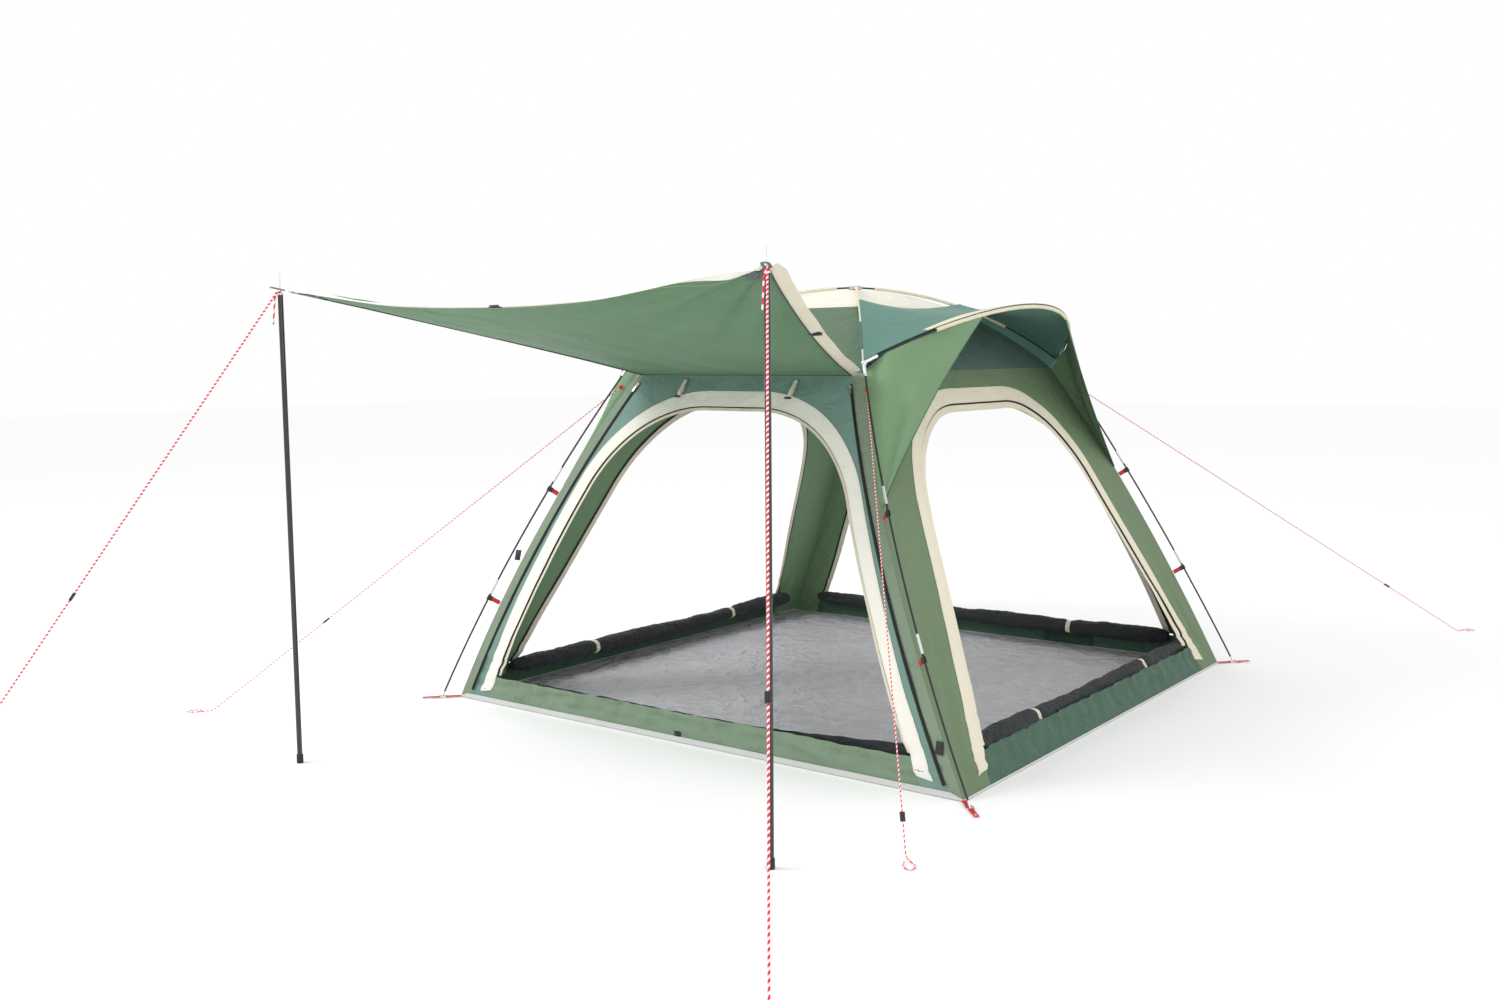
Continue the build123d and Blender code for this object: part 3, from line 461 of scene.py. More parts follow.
def crinkled_sheet(name, colour):
    """Coated sheet whose sharp little creases are ridges between flat facets. Its tone follows the ridges:
    painted highlight on them and painted shade on the facets between them.
    """
    material, tree, shader = surface(name, colour, 0.5)
    place = add(tree, "ShaderNodeTexCoord")
    warp = add(tree, "ShaderNodeTexNoise", Scale=5.0, Detail=3.0)
    shift = add(tree, "ShaderNodeMix")
    shift.data_type = "RGBA"
    shift.blend_type = "LINEAR_LIGHT"
    shift.inputs["Factor"].default_value = 0.12
    ridges = add(tree, "ShaderNodeTexNoise")
    ridges.noise_type = "RIDGED_MULTIFRACTAL"
    set_inputs(ridges, {"Scale": 8.5, "Detail": 6.0, "Roughness": 0.6, "Offset": 0.85, "Gain": 1.6})
    bump = add(tree, "ShaderNodeBump", Strength=0.6, Distance=0.02)
    # Painted highlight and shade: the ridges are lighter and the facets between them darker.
    tone = tone_mix(tree, colour, 0.90, 1.10)
    join(
        tree,
        (place, "Object", warp, "Vector"),
        (place, "Object", shift, "A"),
        (warp, "Color", shift, "B"),
        (shift, "Result", ridges, "Vector"),
        (ridges, "Fac", bump, "Height"),
        (ridges, "Fac", tone, "Factor"),
        (tone, "Result", shader, "Base Color"),
        (bump, "Normal", shader, "Normal"),
    )
    return material


grey_sheet = crinkled_sheet("groundsheet_coated", (0.46, 0.45, 0.48))
pale_hem = fabric("groundsheet_hem", (0.56, 0.57, 0.56), crinkle=0.3)


def wall_x(z):
    return HALF_WIDTH + (EAVE_HALF_WIDTH - HALF_WIDTH) * z / EAVE_Z


def circle_through(a, b, c):
    """Centre and radius of the circle through three points of a plane."""
    d = 2 * (a[0] * (b[1] - c[1]) + b[0] * (c[1] - a[1]) + c[0] * (a[1] - b[1]))
    sq = [p[0] ** 2 + p[1] ** 2 for p in (a, b, c)]
    x = (sq[0] * (b[1] - c[1]) + sq[1] * (c[1] - a[1]) + sq[2] * (a[1] - b[1])) / d
    y = (sq[0] * (c[0] - b[0]) + sq[1] * (a[0] - c[0]) + sq[2] * (b[0] - a[0])) / d
    return x, y, math.hypot(a[0] - x, a[1] - y)


BOW_Y, BOW_Z, BOW_R = circle_through((HALF_DEPTH, 0), (1.325, 0.820), (EAVE_HALF_DEPTH, EAVE_Z))


def wall_y(z):
    return BOW_Y + math.sqrt(BOW_R**2 - (z - BOW_Z) ** 2)


def ground_height(x, y):
    """The sheet lies flat, a few millimetres off the ground where it is creased."""
    edge = min(1.0, (HALF_WIDTH - abs(x)) / 0.15, (HALF_DEPTH - abs(y)) / 0.15)
    soft = ripple(x, y, 1.0, 0.55) * 0.5 + 0.5
    sharp = 1 - abs(ripple(x * 1.0 + 0.2 * ripple(y, x, 9.0, 0.3), y, 4.0, 0.16))
    return 0.0022 + max(0.0, edge) * (0.004 * soft + 0.006 * sharp**4)


SHEET_X = between(-HALF_WIDTH + 0.003, HALF_WIDTH - 0.003, 170)
SHEET_Y = between(-HALF_DEPTH + 0.003, HALF_DEPTH - 0.003, 174)
laid = [[Vector((x, y, ground_height(x, y))) for x in SHEET_X] for y in SHEET_Y]
groundsheet, area = cloth_piece("groundsheet_laid", [(laid, 0)], [grey_sheet], 0.001)
place_piece(groundsheet, "root", "grey_groundsheet", "groundsheet")
sheet_area = min(area, 8.49)

FRONT_HEM_H = 0.026
HEM_H = 0.009
HEM_OUT = 0.0034
hem_rows = []
for share in (0.05, 0.5, 1.0):
    ring = []
    corners = [(-1, -1), (1, -1), (1, 1), (-1, 1), (-1, -1)]
    for side, ((ax, ay), (bx, by)) in enumerate(zip(corners, corners[1:])):
        for k in range(60):
            z = share * (FRONT_HEM_H if side == 0 and k else HEM_H)
            x, y = wall_x(z) + HEM_OUT, wall_y(z) + HEM_OUT
            px, py = (ax + (bx - ax) * k / 60) * x, (ay + (by - ay) * k / 60) * y
            push = 1 + 0.0004 * ripple(px, py, z * 30, 0.12)
            ring.append(Vector((px * push, py * push, z)))
    hem_rows.append(ring + [ring[0]])
hem, area = cloth_piece("groundsheet_hem", [(hem_rows, 0)], [pale_hem], 0.0012)
place_piece(hem, "root", "grey_groundsheet")

# ---------------------------------------------------------------- walls
# Four walls of coated polyester, each an arch round its door with a sill sewn across its foot. The
# front has teal arches between its zips and green corner strips outside them.

TOP_Z = 1.486
SILL_Z = 0.130
DOOR_CORNER = 0.650
END_DOOR = {"foot": 1.250, "lean": 0.45}
SIDE_DOOR = {"foot": 1.245, "lean": 0.347}
N_LEG, N_ARC, N_TOP = 56, 36, 12

olive = fabric("olive_polyester", (0.165, 0.275, 0.150))
# The front arch's teal is a lighter copy of the teal: painted light that makes up for the awning's shade over
# the front.
lit_front_teal = fabric("lit_front_teal_polyester", (0.165, 0.275, 0.235))
teal = fabric("teal_polyester", (0.100, 0.175, 0.145))
strip_green = fabric("strip_polyester", (0.205, 0.270, 0.190))
roof_green = fabric("roof_polyester", (0.095, 0.160, 0.098))
# The sills are one cloth in a lit and a shaded copy: the front sill's lighter green is painted light and the
# other sills' darker green is painted shade. The gusset piping uses the darker green as well.
lit_sill_green = fabric("lit_sill_polyester", (0.180, 0.255, 0.172), crinkle=1.0, crinkle_size=6.0, shade=0.16)
deep_green_and_sill_shade = fabric("deep_green_and_sill_shade_polyester", (0.055, 0.120, 0.078), crinkle=0.7)
# The right wall's green is a darker copy of the olive: painted shade for the wall that faces away from the
# key lamp.
shaded_side_green = fabric("shaded_side_polyester", (0.135, 0.205, 0.110))


def door_half(door, grow, low):
    """Right half of a door's outline, from its foot over the corner to the middle of its top."""
    foot = door["foot"] + grow
    lean = door["lean"]
    top = TOP_Z + grow
    radius = DOOR_CORNER + grow
    slope = math.hypot(lean, 1)
    turn = math.pi / 2 - math.atan(lean)
    reach = radius * math.tan(turn / 2)
    corner = (foot - lean * top, top)
    begin = (corner[0] + lean / slope * reach, corner[1] - reach / slope)
    centre = (begin[0] - radius / slope, begin[1] - radius * lean / slope)
    points = [(foot - lean * z, z) for z in between(low, begin[1], N_LEG)]
    start = math.atan2(begin[1] - centre[1], begin[0] - centre[0])
    for k in range(1, N_ARC):
        angle = start + (math.pi / 2 - start) * k / (N_ARC - 1)
        points.append((centre[0] + radius * math.cos(angle), centre[1] + radius * math.sin(angle)))
    end = points[-1][0]
    points += [(x, top) for x in between(end, 0.0, N_TOP)[1:]]
    return points


def door_line(door, grow, low):
    """Whole outline of a door, from its left foot to its right foot."""
    half = door_half(door, grow, low)
    return [(-a, z) for a, z in half[:-1]] + list(reversed(half))


def outer_line(door, edge, low, high=EAVE_Z):
    """Outer edge of an arch, with a point for each point of the door's outline."""
    half = door_half(door, 0.0, low)
    turn_z = half[N_LEG - 1][1] + 0.06
    points = [(edge(z), z) for z in between(low, turn_z, N_LEG)]
    corner = N_ARC // 2
    points += [(edge(z), z) for z in between(turn_z, high, corner + 1)[1:]]
    last = half[N_LEG + N_ARC - 2][0]
    points += [(a, high) for a in between(edge(high), last, N_ARC - corner)[1:]]
    points += [(a, high) for a, z in half[N_LEG + N_ARC - 1 :]]
    return [(-a, z) for a, z in points[:-1]] + list(reversed(points))


def wall_slack(a, z, edge, seed):
    """How far the cloth stands out of its true surface: broad slack, creases at the sill and
    folds that run up from the corners."""
    room = max(0.0, min(1.0, (edge - abs(a)) / 0.08, (EAVE_Z - z) / 0.05, (z / 0.06) ** 1.5))
    broad = 0.0035 * ripple(a, z * 0.7, seed, 0.38) + 0.0022 * ripple(a + 0.4 * z, z * 0.25, seed + 9, 0.09)
    low = max(0.0, min(1.0, (0.34 - z) / 0.2))
    creases = 0.013 * low * (ripple(a * 0.22, z + 0.02 * ripple(a, 0, seed, 0.5), seed + 3, 0.035) - 0.5)
    along = (edge - abs(a)) * 9 - z * 1.2
    pull = 0.0045 * math.sin(along * 6 + 3 * ripple(a, z, seed + 5, 0.3))
    pull *= math.exp(-((z - 0.25) ** 2) / 0.12)
    upper = 0.0035 * math.sin(a * 21 - z * 9 + 2 * ripple(a, z, seed + 7, 0.4)) * max(0.0, z - 0.9)
    return room * (broad + creases + pull + upper)


def end_place(side):
    def place(a, z, out=0.0):
        slack = wall_slack(a, z, wall_x(z), 11.0 * side)
        return Vector((a, side * (wall_y(z) + out + slack), z))

    return place


def side_place(side):
    def place(a, z, out=0.0):
        slack = wall_slack(a, z, wall_y(z), 23.0 * side)
        return Vector((side * (wall_x(z) + out + slack), a, z))

    return place


def band(place, inner, outer, out, steps):
    """Grid of cloth between two lines of a wall."""
    rows = []
    for w in between(0.0, 1.0, steps):
        rows.append([place(a + (b - a) * w, p + (q - p) * w, out) for (a, p), (b, q) in zip(inner, outer)])
    return rows


ZIP_TOP = (0.614, 1.592)
ZIP_LOW = (1.352, 0.048)


def zip_x(z):
    return ZIP_TOP[0] + (ZIP_LOW[0] - ZIP_TOP[0]) * (ZIP_TOP[1] - z) / (ZIP_TOP[1] - ZIP_LOW[1])


WALL_LOW = 0.006
walls = {
    "front": (end_place(-1), END_DOOR, wall_x),
    "back": (end_place(1), END_DOOR, wall_x),
    "left": (side_place(-1), SIDE_DOOR, lambda z: wall_y(z) - 0.0006),
    "right": (side_place(1), SIDE_DOOR, lambda z: wall_y(z) - 0.0006),
}
for name, (place, door, edge) in walls.items():
    inner = door_line(door, 0.0, WALL_LOW)
    if name == "front":
        arch = band(place, inner, outer_line(door, zip_x, WALL_LOW), 0.0, 12)
        patches = [(arch, 1)]
        heights = [z for a, z in outer_line(door, zip_x, WALL_LOW)[: N_LEG + N_ARC // 2]]
        for mirror in (-1, 1):
            strip = []
            for w in between(0, 1, 6):
                across = [zip_x(z) + (edge(z) - zip_x(z)) * w for z in heights]
                strip.append([place(mirror * x, z) for x, z in zip(across, heights)])
            patches.append((strip, 0))
        # The front arch takes the lighter teal, as painted light.
        finishes = [strip_green, lit_front_teal]
    else:
        arch = band(place, inner, outer_line(door, edge, WALL_LOW), 0.0, 14)
        patches = [(arch, 0)]
        # The right wall takes the darker copy, as painted shade. The others take the olive.
        finishes = [shaded_side_green if name == "right" else olive]
    wall, area = cloth_piece(f"{name}_wall_arch", patches, finishes)
    place_piece(wall, "root", "green_cloth", f"{name}_wall")
    sill = []
    for z in between(WALL_LOW, SILL_Z, 15):
        half = door["foot"] - door["lean"] * z
        sill.append([place(a, z) for a in between(-half, half, 150)])
    # Painted light on the front sill, painted shade on the back and side sills.
    finish = lit_sill_green if name == "front" else deep_green_and_sill_shade
    sill_piece, area = cloth_piece(f"{name}_sill", [(sill, 0)], [finish])
    place_piece(sill_piece, "root", "green_cloth")
    min(area, 0.325)

# ---------------------------------------------------------------- door bindings
# A cream band is sewn on the outside of each wall round its door. Behind it a black zip and a
# narrow cream facing stand a little into the door. The cream band is sewn down with two rows.

TRIM = 0.070
TRIM_LOW = 0.050
LIP = 0.040
LIP_LOW = SILL_Z + 0.01
SEAM_INSET = 0.006
TRIM_OUT = 0.0026  # how far each layer stands out of the wall
SEAM_OUT = 0.0034
ZIP_OUT = -0.0045
LIP_OUT = -0.007
# The front trim is a lighter copy of the cream trim: painted light for the lit front. The awning's front hem
# uses it too.
lit_cream_trim = fabric("lit_front_trim_cloth", (0.82, 0.80, 0.73), crinkle=0.35, shade=0.05)
cream_trim = fabric("cream_trim_cloth", (0.74, 0.69, 0.55), crinkle=0.35, shade=0.06)
black_zip = fabric("black_zip_tape", (0.012, 0.013, 0.014), crinkle=0.1, threads=900.0)
seam_lines = []
for name, (place, door, edge) in walls.items():
    cream = lit_cream_trim if name == "front" else cream_trim
    inner = door_line(door, 0.0, TRIM_LOW + 0.012)
    outer = door_line(door, TRIM, TRIM_LOW)
    trim = cloth_piece(f"{name}_door_trim", [(band(place, inner, outer, TRIM_OUT, 5), 0)], [cream])[0]
    slit, wide = (-0.005, 0.020) if name == "front" else (-0.008, LIP)
    edges = [door_line(door, grow, LIP_LOW) for grow in (SEAM_INSET, slit - 0.001, slit, -wide)]
    lip_rows = band(place, edges[2], edges[3], LIP_OUT, 4)
    zip_rows = band(place, edges[0], edges[1], ZIP_OUT, 3)
    lip = cloth_piece(f"{name}_door_lip", [(lip_rows, 0), (zip_rows, 1)], [cream_trim, black_zip])[0]
    place_piece(lip, "root", "cream_cloth")
    place_piece(trim, "root", "cream_cloth", "door_trims")
    for grow in (SEAM_INSET, TRIM - SEAM_INSET):
        seam_lines.append([place(a, z, SEAM_OUT) for a, z in door_line(door, grow, TRIM_LOW + 0.02)])


def stitch_tree():
    """Stitches along a line: short rods at even steps, each lying along the line."""
    tree = bpy.data.node_groups.new("stitch_row", "GeometryNodeTree")
    face = tree.interface
    face.new_socket("Line", in_out="INPUT", socket_type="NodeSocketGeometry")
    for label, value in (("Pitch", 0.009), ("Length", 0.0055), ("Radius", 0.0006)):
        socket = face.new_socket(label, in_out="INPUT", socket_type="NodeSocketFloat")
        socket.default_value = value
    face.new_socket("Thread", in_out="INPUT", socket_type="NodeSocketMaterial")
    face.new_socket("Stitches", in_out="OUTPUT", socket_type="NodeSocketGeometry")
    start = add(tree, "NodeGroupInput")
    end = add(tree, "NodeGroupOutput")
    curve = add(tree, "GeometryNodeMeshToCurve")
    even = add(tree, "GeometryNodeResampleCurve")
    even.mode = "LENGTH"
    rod = add(tree, "GeometryNodeMeshCylinder")
    rod.inputs["Vertices"].default_value = 6
    tangent = add(tree, "GeometryNodeInputTangent")
    turn = add(tree, "FunctionNodeAlignRotationToVector")
    turn.axis = "Z"
    spread = add(tree, "GeometryNodeInstanceOnPoints")
    real = add(tree, "GeometryNodeRealizeInstances")
    dress = add(tree, "GeometryNodeSetMaterial")
    join(
        tree,
        (start, "Line", curve, "Mesh"),
        (curve, "Curve", even, "Curve"),
        (start, "Pitch", even, "Length"),
        (start, "Length", rod, "Depth"),
        (start, "Radius", rod, "Radius"),
        (tangent, "Tangent", turn, "Vector"),
        (even, "Curve", spread, "Points"),
        (rod, "Mesh", spread, "Instance"),
        (turn, "Rotation", spread, "Rotation"),
        (spread, "Instances", real, "Geometry"),
        (real, "Geometry", dress, "Geometry"),
        (start, "Thread", dress, "Material"),
        (dress, "Geometry", end, "Stitches"),
    )
    return tree


STITCHES = stitch_tree()
STITCH_PITCH = 0.010


def stitch_rows(name, lines, thread, body, slot, **sizes):
    """Rows of stitches along lines, on one body."""
    verts, edges = [], []
    for line in lines:
        edges += [(len(verts) + i, len(verts) + i + 1) for i in range(len(line) - 1)]
        verts += [tuple(p) for p in line]
    mesh = bpy.data.meshes.new(name)
    mesh.from_pydata(verts, edges, [])
    piece = bpy.data.objects.new(name, mesh)
    bpy.context.collection.objects.link(piece)
    rows = piece.modifiers.new("stitches", "NODES")
    rows.node_group = STITCHES
    sockets = {item.name: item.identifier for item in STITCHES.interface.items_tree}
    for label, value in sizes.items():
        rows[sockets[label]] = value
    rows[sockets["Thread"]] = thread
    settle(piece)
    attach(piece, body)
    return piece


cream_thread = surface("cream_thread", (0.62, 0.58, 0.44), 0.6)[0]
dark_thread = surface("dark_thread", (0.03, 0.05, 0.04), 0.6)[0]
stitch_rows("door_trim_stitches", seam_lines, cream_thread, "root", "cream_cloth", Pitch=STITCH_PITCH)

# ---------------------------------------------------------------- roof
# Four gores rise from the eaves to a cream cap. The front and back are green and the sides teal.
# Their seams lie on the roof poles, and each gore hangs a little hollow between them.

ROOF_TOP = 2.050
ROOF_RISE = 0.409
CAP_T = 0.4994


def roof_point(way, t, f, lift=0.0):
    """Point of a gore: t runs from the eave, 1, to the crown, 0, and f across it from -1 to 1."""
    sag = 0.016 * (1 - f * f) * math.sin(math.pi * min(1.0, max(0.0, (1 - t) / (1 - CAP_T))))
    z = ROOF_TOP - ROOF_RISE * t * t - sag + lift
    z += 0.0022 * (1 - abs(f)) * ripple(f * 2, t * 3, 5.0 + way[0] + 2 * way[1], 0.4)
    if way[0]:
        return Vector((way[0] * EAVE_HALF_WIDTH * t, f * EAVE_HALF_DEPTH * t, z))
    return Vector((f * EAVE_HALF_WIDTH * t, way[1] * EAVE_HALF_DEPTH * t, z))


def gore(way, t_low, t_high, steps):
    return [[roof_point(way, t, f) for f in between(-1, 1, 40)] for t in between(t_low, t_high, steps)]


WAYS = {"front": (0, -1), "back": (0, 1), "left": (-1, 0), "right": (1, 0)}
cream_cap = fabric("cap_cloth", (0.80, 0.78, 0.68), crinkle=0.6, crinkle_size=6.0)
patches = [(gore(way, 1.0, CAP_T, 24), 1 if way[0] else 0) for way in WAYS.values()]
roof, area = cloth_piece("roof_gores", patches, [roof_green, teal])
place_piece(roof, "root", "green_cloth", "roof_panels")
patches = [(gore(way, CAP_T, 0.0, 16), 0) for way in WAYS.values()]
cap, area = cloth_piece("roof_cap_cloth", patches, [cream_cap])
place_piece(cap, "root", "cream_cloth", "roof_cap")
min(area, 0.679)
cap_seams = []
for way in WAYS.values():
    for t in (CAP_T - 0.012, CAP_T - 0.03):
        cap_seams.append([roof_point(way, t, f, 0.0009) for f in between(-0.99, 0.99, 40)])
stitch_rows("cap_stitches", cap_seams, cream_thread, "root", "cream_cloth", Pitch=STITCH_PITCH)

# ---------------------------------------------------------------- visors and gussets
# A teal visor stands out over each side door on a bent rod, from the roof poles to its rim. A green
# gusset closes each end of it, down to the corner of the tent, with a hollow free edge.

HUB = (0.680, 0.993, 1.680)
CROWN_Z = 2.064
VISOR_OUT = 0.347
VISOR_UP = 0.260


def arc_through(a, b, c):
    """Function from 0 to 1 along the arc through three points."""
    ab, ac = b - a, c - a
    n = ab.cross(ac)
    centre = a + (n.cross(ab) * ac.length_squared + ac.cross(n) * ab.length_squared) / (2 * n.length_squared)
    first = (a - centre).normalized()
    second = n.normalized().cross(first)
    radius = (a - centre).length
    sweep = math.atan2((c - centre).dot(second), (c - centre).dot(first)) % (2 * math.pi)
    return lambda t: centre + (first * math.cos(sweep * t) + second * math.sin(sweep * t)) * radius


def rim_arc(side):
    a = Vector((side * HUB[0], -HUB[1], HUB[2] + 0.006))
    b = Vector((side * (HUB[0] + VISOR_OUT), 0, HUB[2] + VISOR_UP))
    return arc_through(a, b, Vector((side * HUB[0], HUB[1], HUB[2] + 0.006)))


RIMS = {side: rim_arc(side) for side in (-1, 1)}


def visor_point(side, u, v, lift=0.0):
    """Point of a visor: u runs from the roof's seam to the rim, v from front to back."""
    s = min(1.0, max(0.5, abs(v)))
    dip = max(0.0, 1 - 4 * v * v)
    crease = HUB[2] + (CROWN_Z - HUB[2]) * (1 - s * s) + 0.0155 - 0.034 * dip
    inner = Vector((side * (HUB[0] * s - 0.012 * dip), HUB[1] * v, crease))
    rim = RIMS[side]((v + 1) / 2) + Vector((0, 0, 0.0125))
    sag = 0.026 * 4 * u * (1 - u) * (1 - v * v)
    wave = 0.003 * math.sin(math.pi * u) * (1 - v * v) * ripple(u * 0.8, v * 1.4, side * 7.0, 0.22)
    return inner * (1 - u) + rim * u + Vector((0, 0, lift - sag + wave))


visor_teal = fabric("visor_polyester", (0.095, 0.215, 0.175), crinkle=0.4)
for name, side in (("left", -1), ("right", 1)):
    rows = [[visor_point(side, u, v) for u in between(0, 1, 26)] for v in between(-0.995, 0.995, 72)]
    visor, area = cloth_piece(f"visor_{name}_cloth", [(rows, 0)], [visor_teal])
    place_piece(visor, "root", "teal_cloth", f"visor_{name}")
    flange = []
    for end in (-1, 1):
        spans = between(0.5, 1.0, 36)
        edge = [visor_point(side, 0, end * v) for v in spans]
        seam = []
        for v in spans:
            z = ROOF_TOP - ROOF_RISE * v * v - 0.001
            seam.append(Vector((side * EAVE_HALF_WIDTH * v, end * EAVE_HALF_DEPTH * v, z)))
        flange.append(([[a * (1 - w) + b * w for a, b in zip(edge, seam)] for w in between(0, 1, 4)], 0))
    flange_piece = cloth_piece(f"visor_{name}_flange", flange, [visor_teal])[0]
    place_piece(flange_piece, "root", "teal_cloth")
    facing = []
    for v in between(-0.70, 0.70, 60):
        facing.append([visor_point(side, u, v, 0.0022) for u in between(0.925, 1.004, 5)])
    rim_band = cloth_piece(f"visor_{name}_rim_band", [(facing, 0)], [cream_trim])[0]
    place_piece(rim_band, "root", "cream_cloth")
    rows = [[visor_point(side, u, v, 0.0032) for v in between(-0.69, 0.69, 60)] for u in (0.932, 0.985)]
    stitch_rows(f"visor_{name}_stitches", rows, cream_thread, "root", "cream_cloth", Pitch=STITCH_PITCH)


GUSSET_LOW = 1.080
GUSSET_RIM = 0.30
GUSSET_HOLLOW = 0.035
PIPING_R = 0.0022


def gusset_point(corner, t, w):
    """t runs from the rim, 0, down to the tail, 1, and w from the tent's corner to the free edge."""
    side, end = corner

    def rim(at):
        return RIMS[side](at if end < 0 else 1 - at) - Vector((0, 0, 0.004))

    def root(z):
        return Vector((side * (wall_x(z) + 0.0006), end * (wall_y(z) - 0.0004), z))

    far, tail = rim(GUSSET_RIM), root(GUSSET_LOW)
    inward = (root(1.45) - (far + tail) / 2).normalized()
    seam = root(EAVE_Z + (GUSSET_LOW - EAVE_Z) * t)
    free = far * (1 - t) + tail * t + inward * (4 * t * (1 - t) * GUSSET_HOLLOW)
    flat = seam * (1 - w) + free * w
    bow = rim(0.01 + (GUSSET_RIM - 0.01) * w) - root(EAVE_Z) * (1 - w) - far * w
    fold = 0.007 * math.sin(8 * w + 3.5 * t) * (1 - t) * w * (1 - w) * 4
    fold += 0.004 * math.sin(15 * w - 5 * t + side) * t * (1 - t) * w * (1 - w) * 16
    return flat + bow * min(1.0, w / 0.12) * (1 - t) ** 2.2 + Vector((side * fold, end * fold, 0))


patches = []
piping = []
for corner in ((-1, -1), (1, -1), (-1, 1), (1, 1)):
    downs = between(0, 0.985, 40)
    patches.append(([[gusset_point(corner, t, w) for w in between(0, 1, 16)] for t in downs], 0))
    hollow_edge = [gusset_point(corner, t, 1.0) for t in downs]
    piping.append(tube_mesh(hollow_edge, PIPING_R, 8, UP))
gussets, area = cloth_piece("visor_gusset_sails", patches, [olive])
place_piece(gussets, "root", "green_cloth", "visor_gussets")
verts, faces = joined(piping)
edge_piping = mesh_piece("gusset_piping", verts, faces, [deep_green_and_sill_shade])
place_piece(edge_piping, "root", "green_cloth")

# ---------------------------------------------------------------- awning
# A green sheet zipped to the eave and held up by two poles, with a hollow front edge between them.
# Its tips are pulled tight, so that folds run out of them. Cream flaps finish its two sides.

AWNING_Z = 2.008
SEAM_Y = -0.976
SEAM_Z = 1.630
SEAM_HALF = 0.606
SEAM_R = 0.004
EDGE_SAG = 0.095
EDGE_HOLLOW = 0.080
SIDE_HOLLOW = 0.045
BELLY = 0.030
FLAP = 0.062
FLAP_LIFT = 0.012
EYE_CLEAR = 0.036
TIPS = {side: Vector((*AWNING_POLES[side], AWNING_Z)) for side in ("left", "right")}


def plain_awning(a, b):
    """Point of the awning: a runs from left, -1, to right, 1, and b from the seam to the front."""
    seam = Vector((a * SEAM_HALF, SEAM_Y - SEAM_R - 0.0005, SEAM_Z))
    front = TIPS["left"] * ((1 - a) / 2) + TIPS["right"] * ((1 + a) / 2)
    hang = 1 - a * a
    front += Vector((0, EDGE_HOLLOW * hang, -EDGE_SAG * hang))
    bulge = 4 * b * (1 - b)
    slack = Vector((-(a**3) * SIDE_HOLLOW * bulge, 0, -BELLY * bulge * hang))
    return seam * (1 - b) + front * b + slack


EYES = {}
for side, a in (("left", -1), ("right", 1)):
    EYES[side] = TIPS[side] + (TIPS[side] - plain_awning(a, 0)).normalized() * 0.011


def awning_point(a, b, lift=0.0):
    point = plain_awning(a, b)
    folds = 0.0
    for side, eye_at in EYES.items():
        away = point - eye_at
        reach = math.hypot(away.x, away.y)
        angle = math.atan2(away.y, away.x)
        strength = math.exp(-(((reach - 0.50) / 0.42) ** 2))
        strength *= 0.5 if side == "left" else 1.0
        folds += 0.013 * strength * math.sin(angle * 19 + (1.0 if side == "left" else 0.0))
        folds += 0.006 * strength * math.sin(angle * 37 + 2.0)
    free = min(1.0, b / 0.12) * min(1.0, (1 - abs(a)) / 0.05 + 0.35)
    folds += 0.006 * ripple(point.x, point.y, 3.0, 0.35)
    folds += 0.010 * math.exp(-b / 0.18) * b / 0.18 * math.sin(point.x * 17 + 2 * math.sin(point.x * 5))
    point += Vector((0, 0, folds * free + 0.0015 + lift))
    for eye_at in EYES.values():
        away = point - eye_at
        away.z *= 0.3
        if away.length < EYE_CLEAR:
            point = eye_at + away.normalized() * EYE_CLEAR + Vector((0, 0, point.z - eye_at.z)) * 0.4
    return point


awning_green = fabric("awning_polyester", (0.103, 0.208, 0.108), crinkle=0.45, crinkle_size=5.0)
dark_binding = fabric("dark_binding", (0.045, 0.06, 0.055), crinkle=0.1)
rows = [[awning_point(a, b) for a in between(-1, 1, 116)] for b in between(0.0, 0.992, 80)]
awning, area = cloth_piece("awning_sheet", [(rows, 0)], [awning_green])
place_piece(awning, "awning", "green_cloth", "awning_panel")
awning_area = min(area, 3.79)
flaps = []
for side in (-1, 1):
    rows = []
    for b in between(0.0, 0.975, 80):
        wide = FLAP * min(1.0, (b / 0.03) ** 0.5 * 0.75 + 0.25, 0.55 + (0.975 - b) / 0.1)
        wave = 0.004 * math.sin(b * 21) * math.sin(b * 8)
        outward = Vector((side * wide, 0, FLAP_LIFT + wave))
        rows.append([awning_point(side, b) + outward * w for w in between(0, 1, 6)])
    flaps.append((rows, 0))
flap_piece = cloth_piece("awning_side_flaps", flaps, [cream_trim])[0]
place_piece(flap_piece, "awning", "cream_cloth", "awning_bindings")
hem_rows = [[awning_point(a, b, 0.0) for a in between(-0.985, 0.985, 116)] for b in (0.988, 0.994, 1.0)]
# The awning's front hem takes the lighter copy of the cream trim, as painted light.
front_hem = cloth_piece("awning_front_hem", [(hem_rows, 0)], [lit_cream_trim], 0.004)[0]
place_piece(front_hem, "awning", "cream_cloth")
strips = []
for side in (-1, 1):
    edge_line = [awning_point(side, b, -0.002) for b in between(0.0, 0.975, 80)]
    strips.append(tube_mesh(edge_line, 0.0035, 8, UP))
seam_line = [awning_point(a, 0.0) for a in between(-1, 1, 40)]
strips.append(tube_mesh(seam_line, 0.004, 8, UP))
verts, faces = joined(strips)
binding = mesh_piece("awning_piping", verts, faces, [dark_binding])
place_piece(binding, "awning", "cream_cloth")
patch_rows = []
for side, s in (("left", -1), ("right", 1)):
    rows = []
    for b in between(0.90, 0.984, 12):
        inner_a = 1 - 0.10 * (b - 0.85) / 0.134
        rows.append([awning_point(s * a, b, -0.0035) for a in between(inner_a, 0.997, 10)])
    patch_rows.append((rows, 0))
